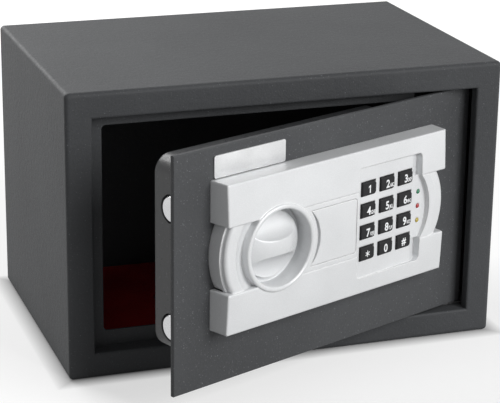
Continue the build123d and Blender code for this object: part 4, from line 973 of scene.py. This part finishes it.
class SAFE_OT_mat(SafeOperator, bpy.types.Operator):
    """Felt mat with its two holes, laid on the cabinet's floor"""

    bl_idname = "safe.mat"
    bl_label = "Felt mat"

    def execute(self, context):
        settings = context.scene.safe_mat
        values = {"Colour": four(settings.felt), "Fibre Size": 0.6 * MM}
        plain = {"Sheen Weight": 0.35, "Sheen Roughness": 0.5, "Sheen Tint": (0.9, 0.25, 0.25, 1.0),
                 "Specular IOR Level": 0.15}
        felt = finish("Red felt", felt_nap, values, 0.3 * MM, plain)
        low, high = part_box("floor_mat")
        holes = anchor_holes()
        points, faces = felt_top(low, high, holes, settings)
        piece = add_piece("felt_mat", surface_mesh("felt_mat", points, faces), "cabinet", felt, True)
        wall = piece.modifiers.new("Thickness", "SOLIDIFY")
        wall.thickness = settings.wall
        wall.offset = -1.0
        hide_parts("floor_mat")
        return {"FINISHED"}


class SAFE_OT_stage(SafeOperator, bpy.types.Operator):
    """Pale floor, two soft lamps, an even sky and the camera"""

    bl_idname = "safe.stage"
    bl_label = "Stage"

    def execute(self, context):
        settings = context.scene.safe_stage
        context.scene.view_settings.view_transform = "Standard"
        half = settings.floor_size / 2
        corners = np.array([(-half, -half), (half, -half), (half, half), (-half, half)])
        points = np.column_stack([corners, np.full(4, -FLOOR_DROP)])
        mesh = surface_mesh("floor", points, np.array([[0, 1, 2, 3]]))
        mesh.materials.append(floor_finish(settings.floor_glow))
        floor = bpy.data.objects.new("floor", mesh)
        context.scene.collection.objects.link(floor)
        context.scene.world = even_sky(settings.sky)
        add_lamp("back_lamp", BACK_LAMP_PLACE, settings.back_power, BACK_LAMP_SIZE)
        add_lamp("front_lamp", FRONT_LAMP_PLACE, settings.front_power, FRONT_LAMP_SIZE)
        context.scene.camera = add_camera(settings.focal_length)
        return {"FINISHED"}


class SAFE_PT_panel(bpy.types.Panel):
    """Sizes, colours and steps of the safe's looks"""

    bl_idname = "SAFE_PT_panel"
    bl_label = "Furniture safe"
    bl_space_type = "VIEW_3D"
    bl_region_type = "UI"
    bl_category = "Safe"

    def draw(self, context):
        for group in ("safe_paint", "safe_plastics", "safe_mat", "safe_stage"):
            settings = getattr(context.scene, group)
            box = self.layout.box()
            box.label(text=settings.bl_rna.description)
            for key in settings.__annotations__:
                box.prop(settings, key)
        for operator in OPERATORS:
            self.layout.operator(operator.bl_idname)


SETTINGS = {
    "safe_paint": SafePaint,
    "safe_plastics": SafePlastics,
    "safe_mat": SafeMat,
    "safe_stage": SafeStage,
}
OPERATORS = (
    SAFE_OT_cabinet,
    SAFE_OT_door,
    SAFE_OT_fascia,
    SAFE_OT_keys,
    SAFE_OT_lamps,
    SAFE_OT_hardware,
    SAFE_OT_power,
    SAFE_OT_mat,
    SAFE_OT_stage,
)


def register():
    """Registers the settings, the operators and the panel."""
    for cls in (*SETTINGS.values(), *OPERATORS, SAFE_PT_panel):
        bpy.utils.register_class(cls)
    for key, group in SETTINGS.items():
        setattr(bpy.types.Scene, key, bpy.props.PointerProperty(type=group))


def unregister():
    """Takes the settings, the operators and the panel away again."""
    for key in SETTINGS:
        delattr(bpy.types.Scene, key)
    for cls in (SAFE_PT_panel, *reversed(OPERATORS), *reversed(SETTINGS.values())):
        bpy.utils.unregister_class(cls)


def main():
    register()
    for operator in OPERATORS:
        family, step = operator.bl_idname.split(".")
        getattr(getattr(bpy.ops, family), step)()


if __name__ == "__main__":
    main()
